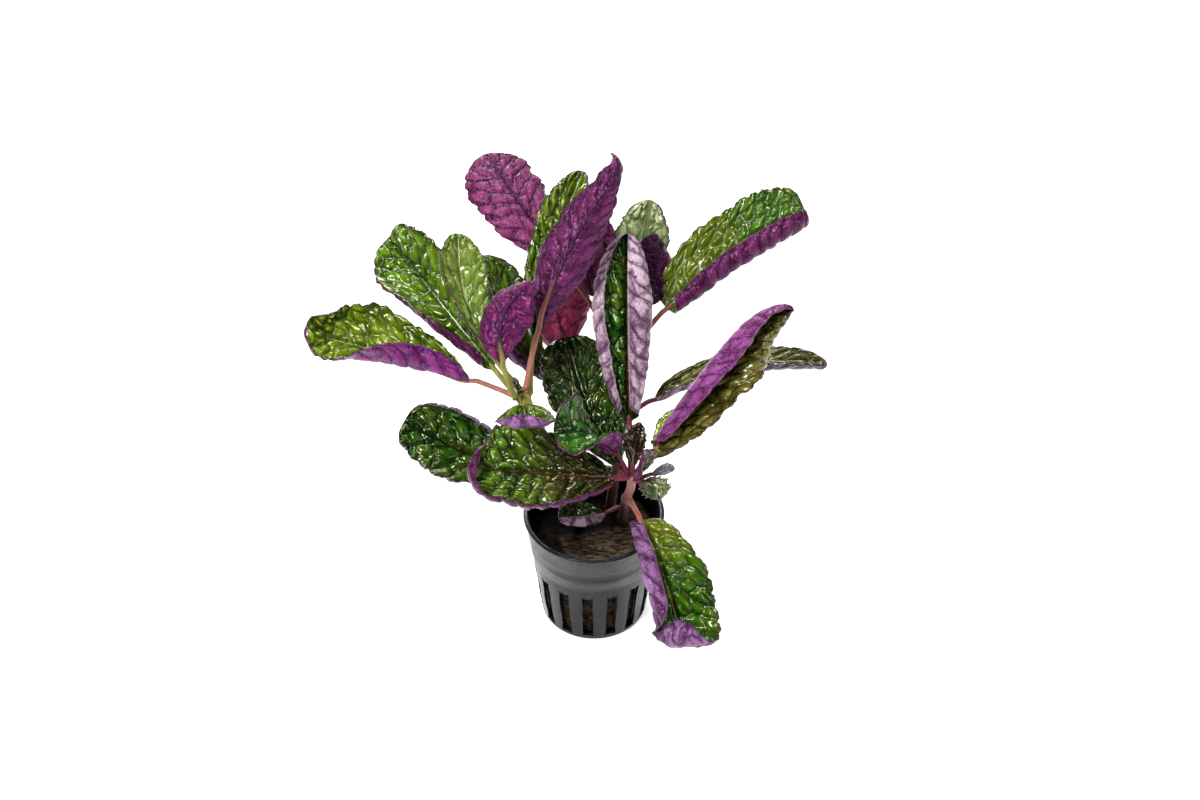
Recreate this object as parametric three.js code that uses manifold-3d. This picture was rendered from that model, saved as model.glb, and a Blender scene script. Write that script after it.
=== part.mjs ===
// Purple waffle plant rooted in a rockwool plug inside a small slotted net pot.
// Millimetres, +Z up. The origin is the centre of the pot's base, on the ground.
// The front of the plant, where the long-stalked leaves spread to both sides, faces -Y.

import * as THREE from 'three';
import { mergeVertices } from 'three/addons/utils/BufferGeometryUtils.js';
import Module from 'manifold-3d';

const wasm = await Module();
wasm.setup();

const toRadians = THREE.MathUtils.degToRad;

// Net pot.
const RIM_RADIUS = 25;
const BASE_RADIUS = 18.9;
const POT_HEIGHT = 46;
const BAND_HEIGHT = 38;
const BAND_RADIUS = 23.3;
const WALL = 1.1;
const FLOOR = 1.3;
const POT_SIDES = 30;
const SLOT_COUNT = 15;
const SLOT_WIDTH = 4;
const SLOT_BOTTOM = 2.2;
const SLOT_TOP = 23.6;
const SLOT_CORNER = 0.8;
const FIRST_SLOT = -96;
const SLOT_CUTTER = { start: 13, depth: 14 };
const BASE_EDGE = { inset: 0.7, height: 0.8 };
const BAND_STEP = 0.3;
const RIM_LIP = { height: 1, flare: 0.7, undercut: 0.4, width: 1.8 };

// Rockwool plug.
const PLUG_BOTTOM = 1.7;
const PLUG_TOP = 38;
const PLUG_GAP = 0.45;
const PLUG_SIDES = 20;
const PLUG_RISE = 0.6;
const PLUG_WEAR = { broad: 0.05, fine: 0.03, nearTop: 0.4 };
const PLUG_DIP = { depth: 0.9, drop: 0.5 };

// Free space left between pieces that touch on the real plant.
const GAP = 0.3;

// Leaf blades: a thin sheet with raised blisters between the side veins. Its widest place,
// slants, margins and curls are shares of its length or of half its width.
const LONG_BLADE = 45;
const MIDDLING_BLADE = 30;
const SMALL_LEAF = { thickness: 0.8, petiole: 0.75 };
const BLADE_THICKNESS = 0.75;
const BLISTER_HEIGHT = 0.85;
const BLISTER_SINK = 0.35;
const SIDE_VEINS = { long: 6, middling: 5, short: 3 };
const VEIN_SLANT = 0.1;
const WIDEST = 0.52;
const SHOULDER = 0.68;
const TIP_POINT = 0.5;
const MARGIN_SCALLOP = 0.035;
const PETIOLE_RADIUS = 0.95;
const LONG_PETIOLE = 14;
const RIB_DEPTH = 0.7;
const RIB_TAPER = 0.7;
const CURL_FROM = [0.3, 0.3];
const CURL_SPAN = 0.6;
const CURL_EASE = 0.08;
const FOLD_SPAN = 0.2;
const HOOK_FROM = 0.7;

// Stems. Each is a smooth curve through a few points, the first one inside the rockwool.
// A node is a slightly thicker ring where leaves join, placed along the stem from 0 to 1.
const STEM_TAPER = { foot: 1.08, loss: 0.16 };
const NODE_SWELLING = 0.22;
const NODE_SPREAD = 0.035;
const STEMS = [
  {
    name: 'stem_front',
    colour: 0xa06a52,
    radius: 1.6,
    points: [[10, 6, 32], [10.5, 3, 42], [11.5, -1.5, 54], [13, -4, 62], [13, -5, 69]],
    nodes: [0.6, 1],
  },
  {
    name: 'stem_left',
    colour: 0x7d7a35,
    radius: 1.6,
    points: [[-4, 3, 32], [-7, 3, 44], [-13, 3, 62], [-18.5, 2.5, 84], [-24.2, -3, 105]],
    nodes: [0.32, 0.94],
  },
  {
    name: 'stem_back',
    colour: 0x8c6448,
    radius: 1.6,
    points: [[5, 11, 32], [7, 13, 46], [9, 18, 64], [8, 26, 84], [7, 33, 99]],
    nodes: [0.6, 0.84, 1],
  },
];

// Leaves. `from` is where the petiole leaves its stem. Angles are in degrees. Heading is the
// compass direction seen from above, 0 along +X and 90 along +Y, and swing is how much it has
// changed by the tip. Rise is the angle above level and droop how much that has changed. Turn
// rolls the blade about its midrib at the base and twist adds to it by the tip. Fold and curl
// are for the left and right half: fold bends a half up at the midrib and curl rolls it in from
// curlFrom (0 midrib, 1 margin) outward. CurlMiddle and curlTip are the curl half way along and
// at the tip, where they differ. Hook bends the midrib upward from hookFrom to the tip, and veer
// bends it to the left. The blade is widest at widest. A low point makes a blunt tip, and a low
// shoulder a broad base.
const LEAVES = [
  {
    name: 'leaf_far_left', colour: 0x6f7f22, from: [-26.8, -2.4, 103],
    heading: 160, swing: 16, rise: 12, droop: -2, petiole: 16, blade: 60, width: 30, turn: 19,
    twist: -60, fold: [20, 10], curl: [140, 20], curlMiddle: [80, 30], curlTip: [0, 30],
    curlFrom: [0.1, 0.3], hook: 90,
  },
  {
    name: 'leaf_upper_left', colour: 0x3f6b1e, from: [-24.6, -0.2, 98],
    heading: 143, swing: -20, rise: 38.5, droop: -27, petiole: 15, blade: 62, width: 28, turn: -30,
    twist: -24, fold: [15, 13], curl: [150, 28], curlTip: [20, 28], curlFrom: [0.2, 0.3],
    point: 0.38,
  },
  {
    name: 'leaf_young_left', colour: 0x708a36, from: [-26.2, -1.2, 107],
    heading: 150, swing: -61, rise: 39, droop: 7, petiole: 17, blade: 39, width: 18, turn: 8,
    twist: 4, fold: [28, 28], curl: [20, 20],
  },
  {
    name: 'leaf_behind_left', colour: 0x4a6a24, from: [5.8, 18, 74],
    heading: 158, swing: -37, rise: 8, droop: 60, petiole: 27, blade: 50, width: 24, turn: -9,
    twist: 5, fold: [9, 10], curl: [150, 30], curlTip: [80, 30], curlFrom: [0.35, 0.3],
  },
  {
    name: 'leaf_small_purple', colour: 0x6a1f63, from: [-26.2, -7, 105.6],
    heading: 165, swing: -165, rise: 72, droop: -44, petiole: 14, blade: 31, width: 19, turn: 180,
    twist: 0, fold: [8, 8], curl: [25, 25], point: 0.75,
  },
  {
    name: 'leaf_top_left', colour: 0x7a3568, from: [5, 34, 99.5],
    heading: 160, swing: -44, rise: 64, droop: -54, petiole: 29, blade: 51, width: 27, turn: 178,
    twist: 0, fold: [5, 5], curl: [23, 24], widest: 0.56, point: 0.36,
  },
  {
    name: 'leaf_top', colour: 0x6b2f68, from: [-22.6, -1.6, 106.4],
    heading: 77, swing: -52, rise: 49, droop: -4, petiole: 22, blade: 65, width: 18, turn: 180,
    twist: 40, fold: [45, 5], curl: [40, 20], curlTip: [10, 45], hook: -50, hookFrom: 0.7,
    veer: 120, widest: 0.3, point: 0.9,
  },
  {
    name: 'leaf_behind_top', colour: 0x44691c, from: [-21.6, 0.2, 101.8],
    heading: 88, swing: -36, rise: 44, droop: 4, petiole: 18, blade: 60, width: 18, turn: 0,
    twist: 10, fold: [5, 30], curl: [20, 30],
  },
  {
    name: 'leaf_upper_centre', colour: 0x5c2450, from: [6.6, 33.2, 101.9],
    heading: 143, swing: -83, rise: 50, droop: -6, petiole: 13, blade: 31, width: 18, turn: 160,
    twist: 0, fold: [10, 11], curl: [35, 36],
  },
  {
    name: 'leaf_back_centre', colour: 0x7b2f45, from: [5.4, 27.4, 89],
    heading: 159, swing: -74, rise: -11, droop: 87, petiole: 17, blade: 25, width: 25, turn: 156,
    twist: 0, fold: [10, 11], curl: [35, 36],
  },
  {
    name: 'leaf_broad_centre', colour: 0x24451c, from: [11.4, -2.8, 66.6],
    heading: 136, swing: -32, rise: 37, droop: 3, petiole: 4, blade: 49, width: 29, turn: 5,
    twist: -15, fold: [7, 7], curl: [34, 35], point: 0.4,
  },
  {
    name: 'leaf_upright_centre', colour: 0x2c5a22, from: [13, -2.4, 71.2],
    heading: 95, swing: -7, rise: 60, droop: -19, petiole: 15, blade: 65, width: 34, turn: 2,
    twist: 0, fold: [5, 5], curl: [165, 175], curlFrom: [0.42, 0.2], point: 0.6,
  },
  {
    name: 'leaf_pale_back', colour: 0x7c8c5c, from: [7.8, 35.2, 98],
    heading: 72, swing: 0, rise: 5, droop: 66, petiole: 15, blade: 38, width: 21, turn: 0,
    twist: 0, fold: [15, 15], curl: [40, 40],
  },
  {
    name: 'leaf_dark_back', colour: 0x3b1038, from: [9.2, 33.4, 99],
    heading: 22, swing: 100, rise: 20, droop: 41, petiole: 15, blade: 26, width: 13, turn: 180,
    twist: 0, fold: [15, 15], curl: [40, 40],
  },
  {
    name: 'leaf_upper_right', colour: 0x3f6b24, from: [10.2, 29, 90],
    heading: 41, swing: -27, rise: 45, droop: -29, petiole: 25, blade: 60, width: 29, turn: 10,
    twist: 0, fold: [6, 6], curl: [40, 175], curlTip: [40, 150], curlFrom: [0.3, 0.32],
    shoulder: 0.34, point: 0.2,
  },
  {
    name: 'leaf_far_right', colour: 0x5a6238, from: [10.6, 18.4, 74],
    heading: 22, swing: -28, rise: 32, droop: -38, petiole: 13, blade: 63, width: 15, turn: -14,
    twist: 0, fold: [8, 8], curl: [60, 40], shoulder: 0.4,
  },
  {
    name: 'leaf_right', colour: 0x5e5424, from: [15.6, -4.4, 68.8],
    heading: 19, swing: 22, rise: 60, droop: -30, petiole: 12, blade: 70, width: 30, turn: 13,
    twist: -4, fold: [70, 0], curl: [95, 9], curlMiddle: [95, 10], curlTip: [95, -240],
    curlFrom: [0, 0.3], hookFrom: 0.6, veer: -80, shoulder: 0.45, point: 0.36,
  },
  {
    name: 'leaf_short_right', colour: 0x74901c, from: [15.2, -3, 66.2],
    heading: 32, swing: 20, rise: 40, droop: -24, petiole: 9, blade: 21, width: 15, turn: 0,
    twist: 0, fold: [10, 10], curl: [20, 20],
  },
  {
    name: 'leaf_lower_left', colour: 0x28491f, from: [-14.2, 3.8, 57.5],
    heading: 183, swing: -24, rise: 22, droop: 0, petiole: 9, blade: 48, width: 28, turn: -18,
    twist: -4, fold: [7, 8], curl: [20, 190], curlTip: [20, 120], curlFrom: [0.3, 0.5],
    point: 0.36,
  },
  {
    name: 'leaf_front', colour: 0x4a6418, from: [10.4, -6, 68.2],
    heading: -163, swing: -13, rise: 20, droop: -11, petiole: 3, blade: 56, width: 34, turn: -20,
    twist: 0, fold: [4, 6], curl: [150, 20], curlTip: [130, 20], curlFrom: [0.6, 0.3], hook: 140,
    hookFrom: 0.75,
  },
  {
    name: 'leaf_cupped', colour: 0x3c7a3c, from: [11, -4.6, 70.8],
    heading: 184, swing: 14, rise: 76, droop: -66, petiole: 9, blade: 27, width: 25, turn: 85,
    twist: -140, fold: [12, 12], curl: [35, 35], curlTip: [50, 50], widest: 0.58, point: 0.3,
  },
  {
    name: 'leaf_below_left_node', colour: 0x5c7a20, from: [-23.8, -5.6, 102.8],
    heading: -80, swing: -15, rise: 7, droop: -10, petiole: 1, blade: 19, width: 20, turn: 0,
    twist: 0, fold: [5, 5], curl: [15, 15], hook: 170, hookFrom: 0.45, point: 0.4,
  },
  {
    name: 'leaf_tip_dark', colour: 0x33281c, from: [13.5, -4.6, 71.8],
    heading: 70, swing: 0, rise: 86, droop: -42, petiole: 1, blade: 16, width: 8.5, turn: 0,
    twist: 0, fold: [15, 15], curl: [30, 30], point: 0.9,
  },
  {
    name: 'leaf_tip_purple', colour: 0x3c1438, from: [14.4, -7.4, 70],
    heading: -31, swing: 0, rise: 64, droop: 25, petiole: 1, blade: 13, width: 12, turn: 180,
    twist: 0, fold: [15, 15], curl: [30, 30],
  },
  {
    name: 'leaf_tip_toothed', colour: 0x6a6f50, from: [15, -6.8, 67.2],
    heading: -37, swing: -29, rise: 46, droop: -87, petiole: 3, blade: 11, width: 11, turn: 0,
    twist: 0, fold: [5, 5], curl: [20, 20], point: 0.8,
  },
  {
    name: 'leaf_over_pot', colour: 0x2a4a2a, from: [8.2, 1.2, 47],
    heading: -143, swing: -26, rise: 0, droop: 20, petiole: 5, blade: 18, width: 17, turn: 0,
    twist: 0, fold: [5, 5], curl: [120, 30],
  },
  {
    name: 'leaf_lower_right', colour: 0x4c7a1c, from: [12.8, -4, 54.8],
    heading: -72, swing: 16, rise: 15, droop: -118, petiole: 11, blade: 60, width: 28, turn: 3,
    twist: 0, fold: [5, 5], curl: [25, 178], curlMiddle: [25, 130], curlTip: [20, 0],
    curlFrom: [0.3, 0.25], hook: 290, hookFrom: 0.5, veer: -75, widest: 0.42, shoulder: 0.38,
    point: 0.4,
  },
  {
    name: 'leaf_tip_pale', colour: 0x9a9a94, from: [15.8, -5, 66.8],
    heading: 6, swing: 0, rise: 27, droop: -17, petiole: 5, blade: 8, width: 5, turn: 0, twist: 0,
    fold: [5, 5], curl: [20, 20],
  },
];

// The bud's ends, and its radius at even steps between them.
const BUD = {
  from: [-25.2, -3.2, 106.2],
  to: [-26.6, -2.6, 111.6],
  radii: [0.5, 0.5, 1.2, 1.3, 0.7],
  sides: 6,
};

// Colours and roughness of what isn't in the tables.
const POT_LOOK = { color: 0x3a3a3d, roughness: 0.38 };
const PLUG_LOOK = { color: 0x5a4a3c, roughness: 0.95 };
const BUD_LOOK = { color: 0x3f4438, roughness: 0.6 };
const STEM_ROUGHNESS = 0.5;
const LEAF_ROUGHNESS = 0.38;

// A closed skin over a row of rings with the same number of points, with a point at each end.
// In a sheet the second half of each ring lies behind the first, and its squares are split
// the same way round, so that the two faces stay apart where the sheet is thin and bent.
function loft(start, rings, end, sheet = false) {
  const positions = [start, ...rings.flat(), end];
  const count = rings[0].length;
  const last = positions.length - 1;
  const indices = [];
  for (let i = 0; i < count; i += 1) {
    const next = (i + 1) % count;
    indices.push(0, 1 + next, 1 + i);
    indices.push(last, last - count + i, last - count + next);
  }
  for (let ring = 0; ring < rings.length - 1; ring += 1) {
    const here = 1 + ring * count;
    const there = here + count;
    for (let i = 0; i < count; i += 1) {
      const next = (i + 1) % count;
      const [near, far] = sheet && i >= count / 2 ? [next, i] : [i, next];
      indices.push(here + i, here + next, there + far);
      indices.push(here + near, there + next, there + i);
    }
  }
  const geometry = new THREE.BufferGeometry();
  const flat = positions.flatMap((p) => [p.x, p.y, p.z]);
  geometry.setAttribute('position', new THREE.Float32BufferAttribute(flat, 3));
  geometry.setIndex(indices);
  return facingOutward(geometry);
}

// Turns the faces round when the enclosed volume comes out negative.
function facingOutward(geometry) {
  const p = geometry.attributes.position;
  const index = geometry.index.array;
  const [a, b, c] = [new THREE.Vector3(), new THREE.Vector3(), new THREE.Vector3()];
  let volume = 0;
  for (let i = 0; i < index.length; i += 3) {
    a.fromBufferAttribute(p, index[i]);
    b.fromBufferAttribute(p, index[i + 1]);
    c.fromBufferAttribute(p, index[i + 2]);
    volume += a.dot(b.cross(c));
  }
  if (volume < 0) {
    const turned = Array.from(index);
    for (let i = 0; i < turned.length; i += 3) {
      [turned[i], turned[i + 1]] = [turned[i + 1], turned[i]];
    }
    geometry.setIndex(turned);
  }
  geometry.computeVertexNormals();
  return geometry;
}

function toManifold(geometry) {
  const bare = geometry.clone();
  bare.deleteAttribute('normal');
  bare.deleteAttribute('uv');
  const merged = mergeVertices(bare, 1e-4);
  const mesh = new wasm.Mesh({
    numProp: 3,
    vertProperties: new Float32Array(merged.attributes.position.array),
    triVerts: new Uint32Array(merged.index.array),
  });
  return new wasm.Manifold(mesh);
}

function toGeometry(manifold) {
  const mesh = manifold.getMesh();
  const geometry = new THREE.BufferGeometry();
  geometry.setAttribute('position', new THREE.BufferAttribute(mesh.vertProperties, 3));
  geometry.setIndex(new THREE.BufferAttribute(mesh.triVerts, 1));
  geometry.computeVertexNormals();
  return geometry;
}

// Pieces of a stem: its centre line, and its radius with a swelling at each node.
function stemCurve(stem) {
  return new THREE.CatmullRomCurve3(stem.points.map((p) => new THREE.Vector3(...p)));
}

function stemRadius(stem, u) {
  const bulge = (node) => Math.exp(-(((u - node) / NODE_SPREAD) ** 2));
  const swelling = stem.nodes.reduce((sum, node) => sum + bulge(node), 0);
  const taper = STEM_TAPER.foot - STEM_TAPER.loss * u;
  return stem.radius * (taper + NODE_SWELLING * Math.min(1, swelling));
}

function stemGeometry(stem, extra = 0, steps = 11, sides = 7) {
  const curve = stemCurve(stem);
  const frames = curve.computeFrenetFrames(steps, false);
  const rings = [];
  for (let i = 0; i <= steps; i += 1) {
    const u = i / steps;
    const centre = curve.getPointAt(u);
    centre.z -= i === 0 ? extra : 0;
    const radius = stemRadius(stem, u) + extra;
    const ring = [];
    for (let k = 0; k < sides; k += 1) {
      const angle = (k / sides) * Math.PI * 2;
      const point = centre.clone();
      point.addScaledVector(frames.normals[i], Math.cos(angle) * radius);
      point.addScaledVector(frames.binormals[i], Math.sin(angle) * radius);
      ring.push(point);
    }
    rings.push(ring);
  }
  const foot = curve.getPointAt(0);
  foot.z -= extra;
  return loft(foot, rings, curve.getPointAt(1));
}

// Half the blade's width along the midrib, as a share of the widest point: t is 0 at the base
// and 1 at the tip.
function bladeOutline(leaf, t) {
  const widest = leaf.widest ?? WIDEST;
  if (t < widest) {
    return Math.sin((Math.PI / 2) * (t / widest)) ** (leaf.shoulder ?? SHOULDER);
  }
  return Math.sin((Math.PI / 2) * ((1 - t) / (1 - widest))) ** (leaf.point ?? TIP_POINT);
}

// The midrib as a chain of short steps: position, direction across to the left, and up.
function midribFrames(leaf, steps = 60) {
  const length = leaf.petiole + leaf.blade;
  const frames = [];
  const position = new THREE.Vector3(...leaf.from);
  const frameAt = (u) => {
    const t = (u * length - leaf.petiole) / leaf.blade;
    const hookFrom = leaf.hookFrom ?? HOOK_FROM;
    const bend = Math.max(0, (t - hookFrom) / (1 - hookFrom)) ** 2;
    const rise = toRadians(leaf.rise + leaf.droop * u + (leaf.hook ?? 0) * bend);
    const heading = toRadians(leaf.heading + leaf.swing * u + (leaf.veer ?? 0) * bend);
    const roll = toRadians(leaf.turn + leaf.twist * Math.max(0, t));
    const level = new THREE.Vector3(Math.cos(heading), Math.sin(heading), 0);
    const along = level.multiplyScalar(Math.cos(rise)).setZ(Math.sin(rise));
    const left = new THREE.Vector3(-Math.sin(heading), Math.cos(heading), 0);
    const up = new THREE.Vector3().crossVectors(along, left);
    return {
      t,
      along,
      left: left.clone().multiplyScalar(Math.cos(roll)).addScaledVector(up, Math.sin(roll)),
      up: up.clone().multiplyScalar(Math.cos(roll)).addScaledVector(left, -Math.sin(roll)),
    };
  };
  for (let i = 0; i <= steps; i += 1) {
    const frame = frameAt(i / steps);
    frame.position = position.clone();
    frames.push(frame);
    position.addScaledVector(frameAt((i + 0.5) / steps).along, length / steps);
  }
  return frames;
}

// The frame at blade position t, between the two nearest steps.
function frameAtBlade(leaf, frames, t) {
  const share = (leaf.petiole + t * leaf.blade) / (leaf.petiole + leaf.blade);
  const place = share * (frames.length - 1);
  const low = Math.min(frames.length - 2, Math.max(0, Math.floor(place)));
  const mix = place - low;
  const blend = (key) => frames[low][key].clone().lerp(frames[low + 1][key], mix);
  return {
    position: blend('position'),
    left: blend('left').normalize(),
    up: blend('up').normalize(),
  };
}

// How steeply a half blade stands at v, 0 at the midrib and 1 at the margin. The narrow base
// opens flat before the curl begins.
function bladeSlope(leaf, side, t, v) {
  const tip = (leaf.curlTip ?? leaf.curl)[side];
  const middle = leaf.curlMiddle ? leaf.curlMiddle[side] : (leaf.curl[side] + tip) / 2;
  const curl = t < 0.5
    ? THREE.MathUtils.lerp(leaf.curl[side], middle, t * 2)
    : THREE.MathUtils.lerp(middle, tip, t * 2 - 1);
  const from = (leaf.curlFrom ?? CURL_FROM)[side];
  const rolled = THREE.MathUtils.smoothstep(v, from, from + CURL_SPAN) * Math.min(1, t / CURL_EASE);
  return toRadians(leaf.fold[side] * Math.min(1, v / FOLD_SPAN) + curl * rolled);
}

// Long leaves carry more side veins than short ones.
function sideVeins(leaf) {
  if (leaf.blade > LONG_BLADE) {
    return SIDE_VEINS.long;
  }
  return leaf.blade > MIDDLING_BLADE ? SIDE_VEINS.middling : SIDE_VEINS.short;
}

// Blisters stand between the side veins and fade at the midrib and the margin.
function blister(leaf, t, v) {
  const between = 0.5 - 0.5 * Math.cos(2 * Math.PI * sideVeins(leaf) * t);
  const fade = Math.sin(Math.PI * Math.min(1, v * 0.98)) ** 0.6;
  return BLISTER_HEIGHT * (between - BLISTER_SINK) * fade * Math.sin(Math.PI * t) ** 0.4;
}

// A point of the blade's middle surface and the direction square to it.
function bladePoint(leaf, frames, side, row, v) {
  const t = Math.min(1, row + VEIN_SLANT * v * Math.sin(Math.PI * row));
  const frame = frameAtBlade(leaf, frames, t);
  const scallop = 1 + MARGIN_SCALLOP * v * Math.cos(2 * Math.PI * sideVeins(leaf) * row);
  const outline = (leaf.width / 2) * bladeOutline(leaf, row) * scallop;
  const half = Math.max(PETIOLE_RADIUS * 0.8, outline);
  const steps = 12;
  let across = 0;
  let height = 0;
  for (let i = 0; i < steps; i += 1) {
    const slope = bladeSlope(leaf, side, t, (v * (i + 0.5)) / steps);
    across += (Math.cos(slope) * v * half) / steps;
    height += (Math.sin(slope) * v * half) / steps;
  }
  const hand = side === 0 ? 1 : -1;
  const slope = bladeSlope(leaf, side, t, v);
  const square = frame.up.clone().multiplyScalar(Math.cos(slope));
  square.addScaledVector(frame.left, -hand * Math.sin(slope));
  const point = frame.position.clone().addScaledVector(frame.left, hand * across);
  point.addScaledVector(frame.up, height).addScaledVector(square, blister(leaf, row, v));
  return { point, square };
}

// One leaf: a round petiole that opens into the blade, all one skin.
function leafGeometry(leaf) {
  const big = leaf.blade > MIDDLING_BLADE;
  const rows = sideVeins(leaf) * 2;
  const columns = big ? 3 : 2;
  const frames = midribFrames(leaf);
  const around = 4 * columns;
  const thick = BLADE_THICKNESS * (big ? 1 : SMALL_LEAF.thickness);
  const stalk = PETIOLE_RADIUS * (big ? 1 : SMALL_LEAF.petiole);
  const rings = [];
  const stalkSteps = leaf.petiole > LONG_PETIOLE ? 3 : 2;
  for (let i = 0; i < stalkSteps; i += 1) {
    const frame = frameAtBlade(leaf, frames, -(leaf.petiole / leaf.blade) * (1 - i / stalkSteps));
    const ring = [];
    for (let k = 0; k < around; k += 1) {
      const angle = (k / around) * 2 * Math.PI;
      ring.push(frame.position.clone()
        .addScaledVector(frame.left, Math.cos(angle) * stalk)
        .addScaledVector(frame.up, Math.sin(angle) * stalk));
    }
    rings.push(ring);
  }
  for (let i = 0; i < rows; i += 1) {
    const row = i === 0 ? 0.02 : i / rows;
    const top = [];
    const under = [];
    for (let k = -columns; k <= columns; k += 1) {
      const v = Math.abs(k) / columns;
      const { point, square } = bladePoint(leaf, frames, k < 0 ? 0 : 1, row, v);
      const rib = k === 0 ? RIB_DEPTH * (1 - RIB_TAPER * row) : 0;
      const edge = Math.abs(k) === columns;
      top.push(edge ? point : point.clone().addScaledVector(square, thick / 2));
      if (!edge) {
        under.push(point.clone().addScaledVector(square, -thick / 2 - rib));
      }
    }
    rings.push([...top, ...under.reverse()]);
  }
  const start = new THREE.Vector3(...leaf.from);
  const tip = frameAtBlade(leaf, frames, 1).position;
  return loft(start, rings, tip, true);
}

// A level ring of points round a centre.
function levelRing(centre, radius, sides) {
  return Array.from({ length: sides }, (_, k) => {
    const angle = (k / sides) * 2 * Math.PI;
    const out = new THREE.Vector3(Math.cos(angle), Math.sin(angle), 0);
    return centre.clone().addScaledVector(out, radius);
  });
}

// The young bud beside the top of the left stem.
function budGeometry() {
  const from = new THREE.Vector3(...BUD.from);
  const to = new THREE.Vector3(...BUD.to);
  const along = to.clone().sub(from);
  const rings = BUD.radii.map((radius, i) => {
    const centre = from.clone().addScaledVector(along, i / BUD.radii.length);
    return levelRing(centre, radius, BUD.sides);
  });
  return loft(from, rings, to);
}

// The pot is turned from one profile, then the slots are cut through its wall.
function potGeometry() {
  const innerBase = BASE_RADIUS - WALL;
  const innerBand = BAND_RADIUS - WALL;
  const underLip = POT_HEIGHT - RIM_LIP.height;
  const profile = [
    [0, 0],
    [BASE_RADIUS - BASE_EDGE.inset, 0],
    [BASE_RADIUS, BASE_EDGE.height],
    [BAND_RADIUS, BAND_HEIGHT],
    [BAND_RADIUS + BAND_STEP, BAND_HEIGHT + BAND_STEP],
    [RIM_RADIUS - RIM_LIP.flare, underLip - RIM_LIP.undercut],
    [RIM_RADIUS, underLip],
    [RIM_RADIUS, POT_HEIGHT],
    [RIM_RADIUS - RIM_LIP.width, POT_HEIGHT],
    [innerBand, BAND_HEIGHT - 1],
    [innerBase, FLOOR],
    [0, FLOOR],
  ];
  const outline = profile.map(([x, y]) => new THREE.Vector2(x, y));
  const body = new THREE.LatheGeometry(outline, POT_SIDES);
  body.rotateX(Math.PI / 2);
  let pot = toManifold(body);
  if (pot.volume() < 0) {
    throw new Error('pot is inside out');
  }
  const cutter = slotCutter();
  for (let i = 0; i < SLOT_COUNT; i += 1) {
    const turned = cutter.clone().rotateZ(toRadians(FIRST_SLOT + (360 / SLOT_COUNT) * i));
    pot = pot.subtract(toManifold(turned));
  }
  return toGeometry(pot);
}

// A flat-topped bar with slightly rounded corners, pointing outward along +X.
function slotCutter() {
  const half = SLOT_WIDTH / 2;
  const c = SLOT_CORNER;
  const outline = new THREE.Shape([
    new THREE.Vector2(-half, SLOT_BOTTOM), new THREE.Vector2(half, SLOT_BOTTOM),
    new THREE.Vector2(half, SLOT_TOP - c), new THREE.Vector2(half - c, SLOT_TOP),
    new THREE.Vector2(-half + c, SLOT_TOP), new THREE.Vector2(-half, SLOT_TOP - c),
  ]);
  const bar = new THREE.ExtrudeGeometry(outline, { depth: SLOT_CUTTER.depth, bevelEnabled: false });
  bar.rotateX(Math.PI / 2);
  bar.rotateZ(Math.PI / 2);
  bar.translate(SLOT_CUTTER.start, 0, 0);
  return bar;
}

// The plug follows the inside of the pot, uneven where the fibre has worn back, and stands
// round the feet of the stems.
function plugGeometry() {
  const levels = [
    [PLUG_BOTTOM, 0.97], [PLUG_BOTTOM + 7, 0.94], [14, 0.9], [22, 0.93], [30, 0.97], [36, 0.985],
    [PLUG_TOP, 0.93], [PLUG_TOP + PLUG_RISE, 0.6],
  ];
  const slant = (BAND_RADIUS - BASE_RADIUS) / (BAND_HEIGHT - BASE_EDGE.height);
  const rings = levels.map(([z, share], level) => {
    const above = Math.min(z, PLUG_TOP) - BASE_EDGE.height;
    const inside = BASE_RADIUS - WALL - PLUG_GAP + slant * above;
    const wear = level > 4 ? PLUG_WEAR.nearTop : 1;
    return Array.from({ length: PLUG_SIDES }, (_, k) => {
      const angle = (k / PLUG_SIDES) * 2 * Math.PI;
      const broad = PLUG_WEAR.broad * Math.abs(Math.sin(angle * 2.5 + level * 1.7));
      const fine = PLUG_WEAR.fine * Math.sin(angle * 7 + level) ** 2;
      const radius = inside * (share - wear * (broad + fine));
      const dip = level > 5 ? PLUG_DIP.depth * Math.sin(angle * 2 + 0.8) - PLUG_DIP.drop : 0;
      return new THREE.Vector3(Math.cos(angle) * radius, Math.sin(angle) * radius, z + dip);
    });
  });
  const start = new THREE.Vector3(0, 0, PLUG_BOTTOM);
  const end = new THREE.Vector3(0, 0, PLUG_TOP);
  let plug = toManifold(loft(start, rings, end));
  for (const stem of STEMS) {
    plug = plug.subtract(toManifold(stemGeometry(stem, GAP)));
  }
  return toGeometry(plug);
}

const group = new THREE.Group();
group.name = 'purple_waffle_plant';

function addPiece(name, geometry, look) {
  const mesh = new THREE.Mesh(geometry, new THREE.MeshStandardMaterial(look));
  mesh.name = name;
  group.add(mesh);
}

addPiece('net_pot', potGeometry(), POT_LOOK);
addPiece('rockwool_plug', plugGeometry(), PLUG_LOOK);
for (const stem of STEMS) {
  addPiece(stem.name, stemGeometry(stem), { color: stem.colour, roughness: STEM_ROUGHNESS });
}
for (const leaf of LEAVES) {
  addPiece(leaf.name, leafGeometry(leaf), { color: leaf.colour, roughness: LEAF_ROUGHNESS });
}
addPiece('bud_left', budGeometry(), BUD_LOOK);

export default group;
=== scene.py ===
"""A purple waffle plant in a net pot: the looks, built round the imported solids.

The plant and its pot are in millimetres, with +Z up and the origin at the centre of the pot's
base, and a mesh is turned into metres as it is made. The studio, the user's properties and the
scales in the materials are in metres.
"""

import math
from dataclasses import dataclass
from types import SimpleNamespace

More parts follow.
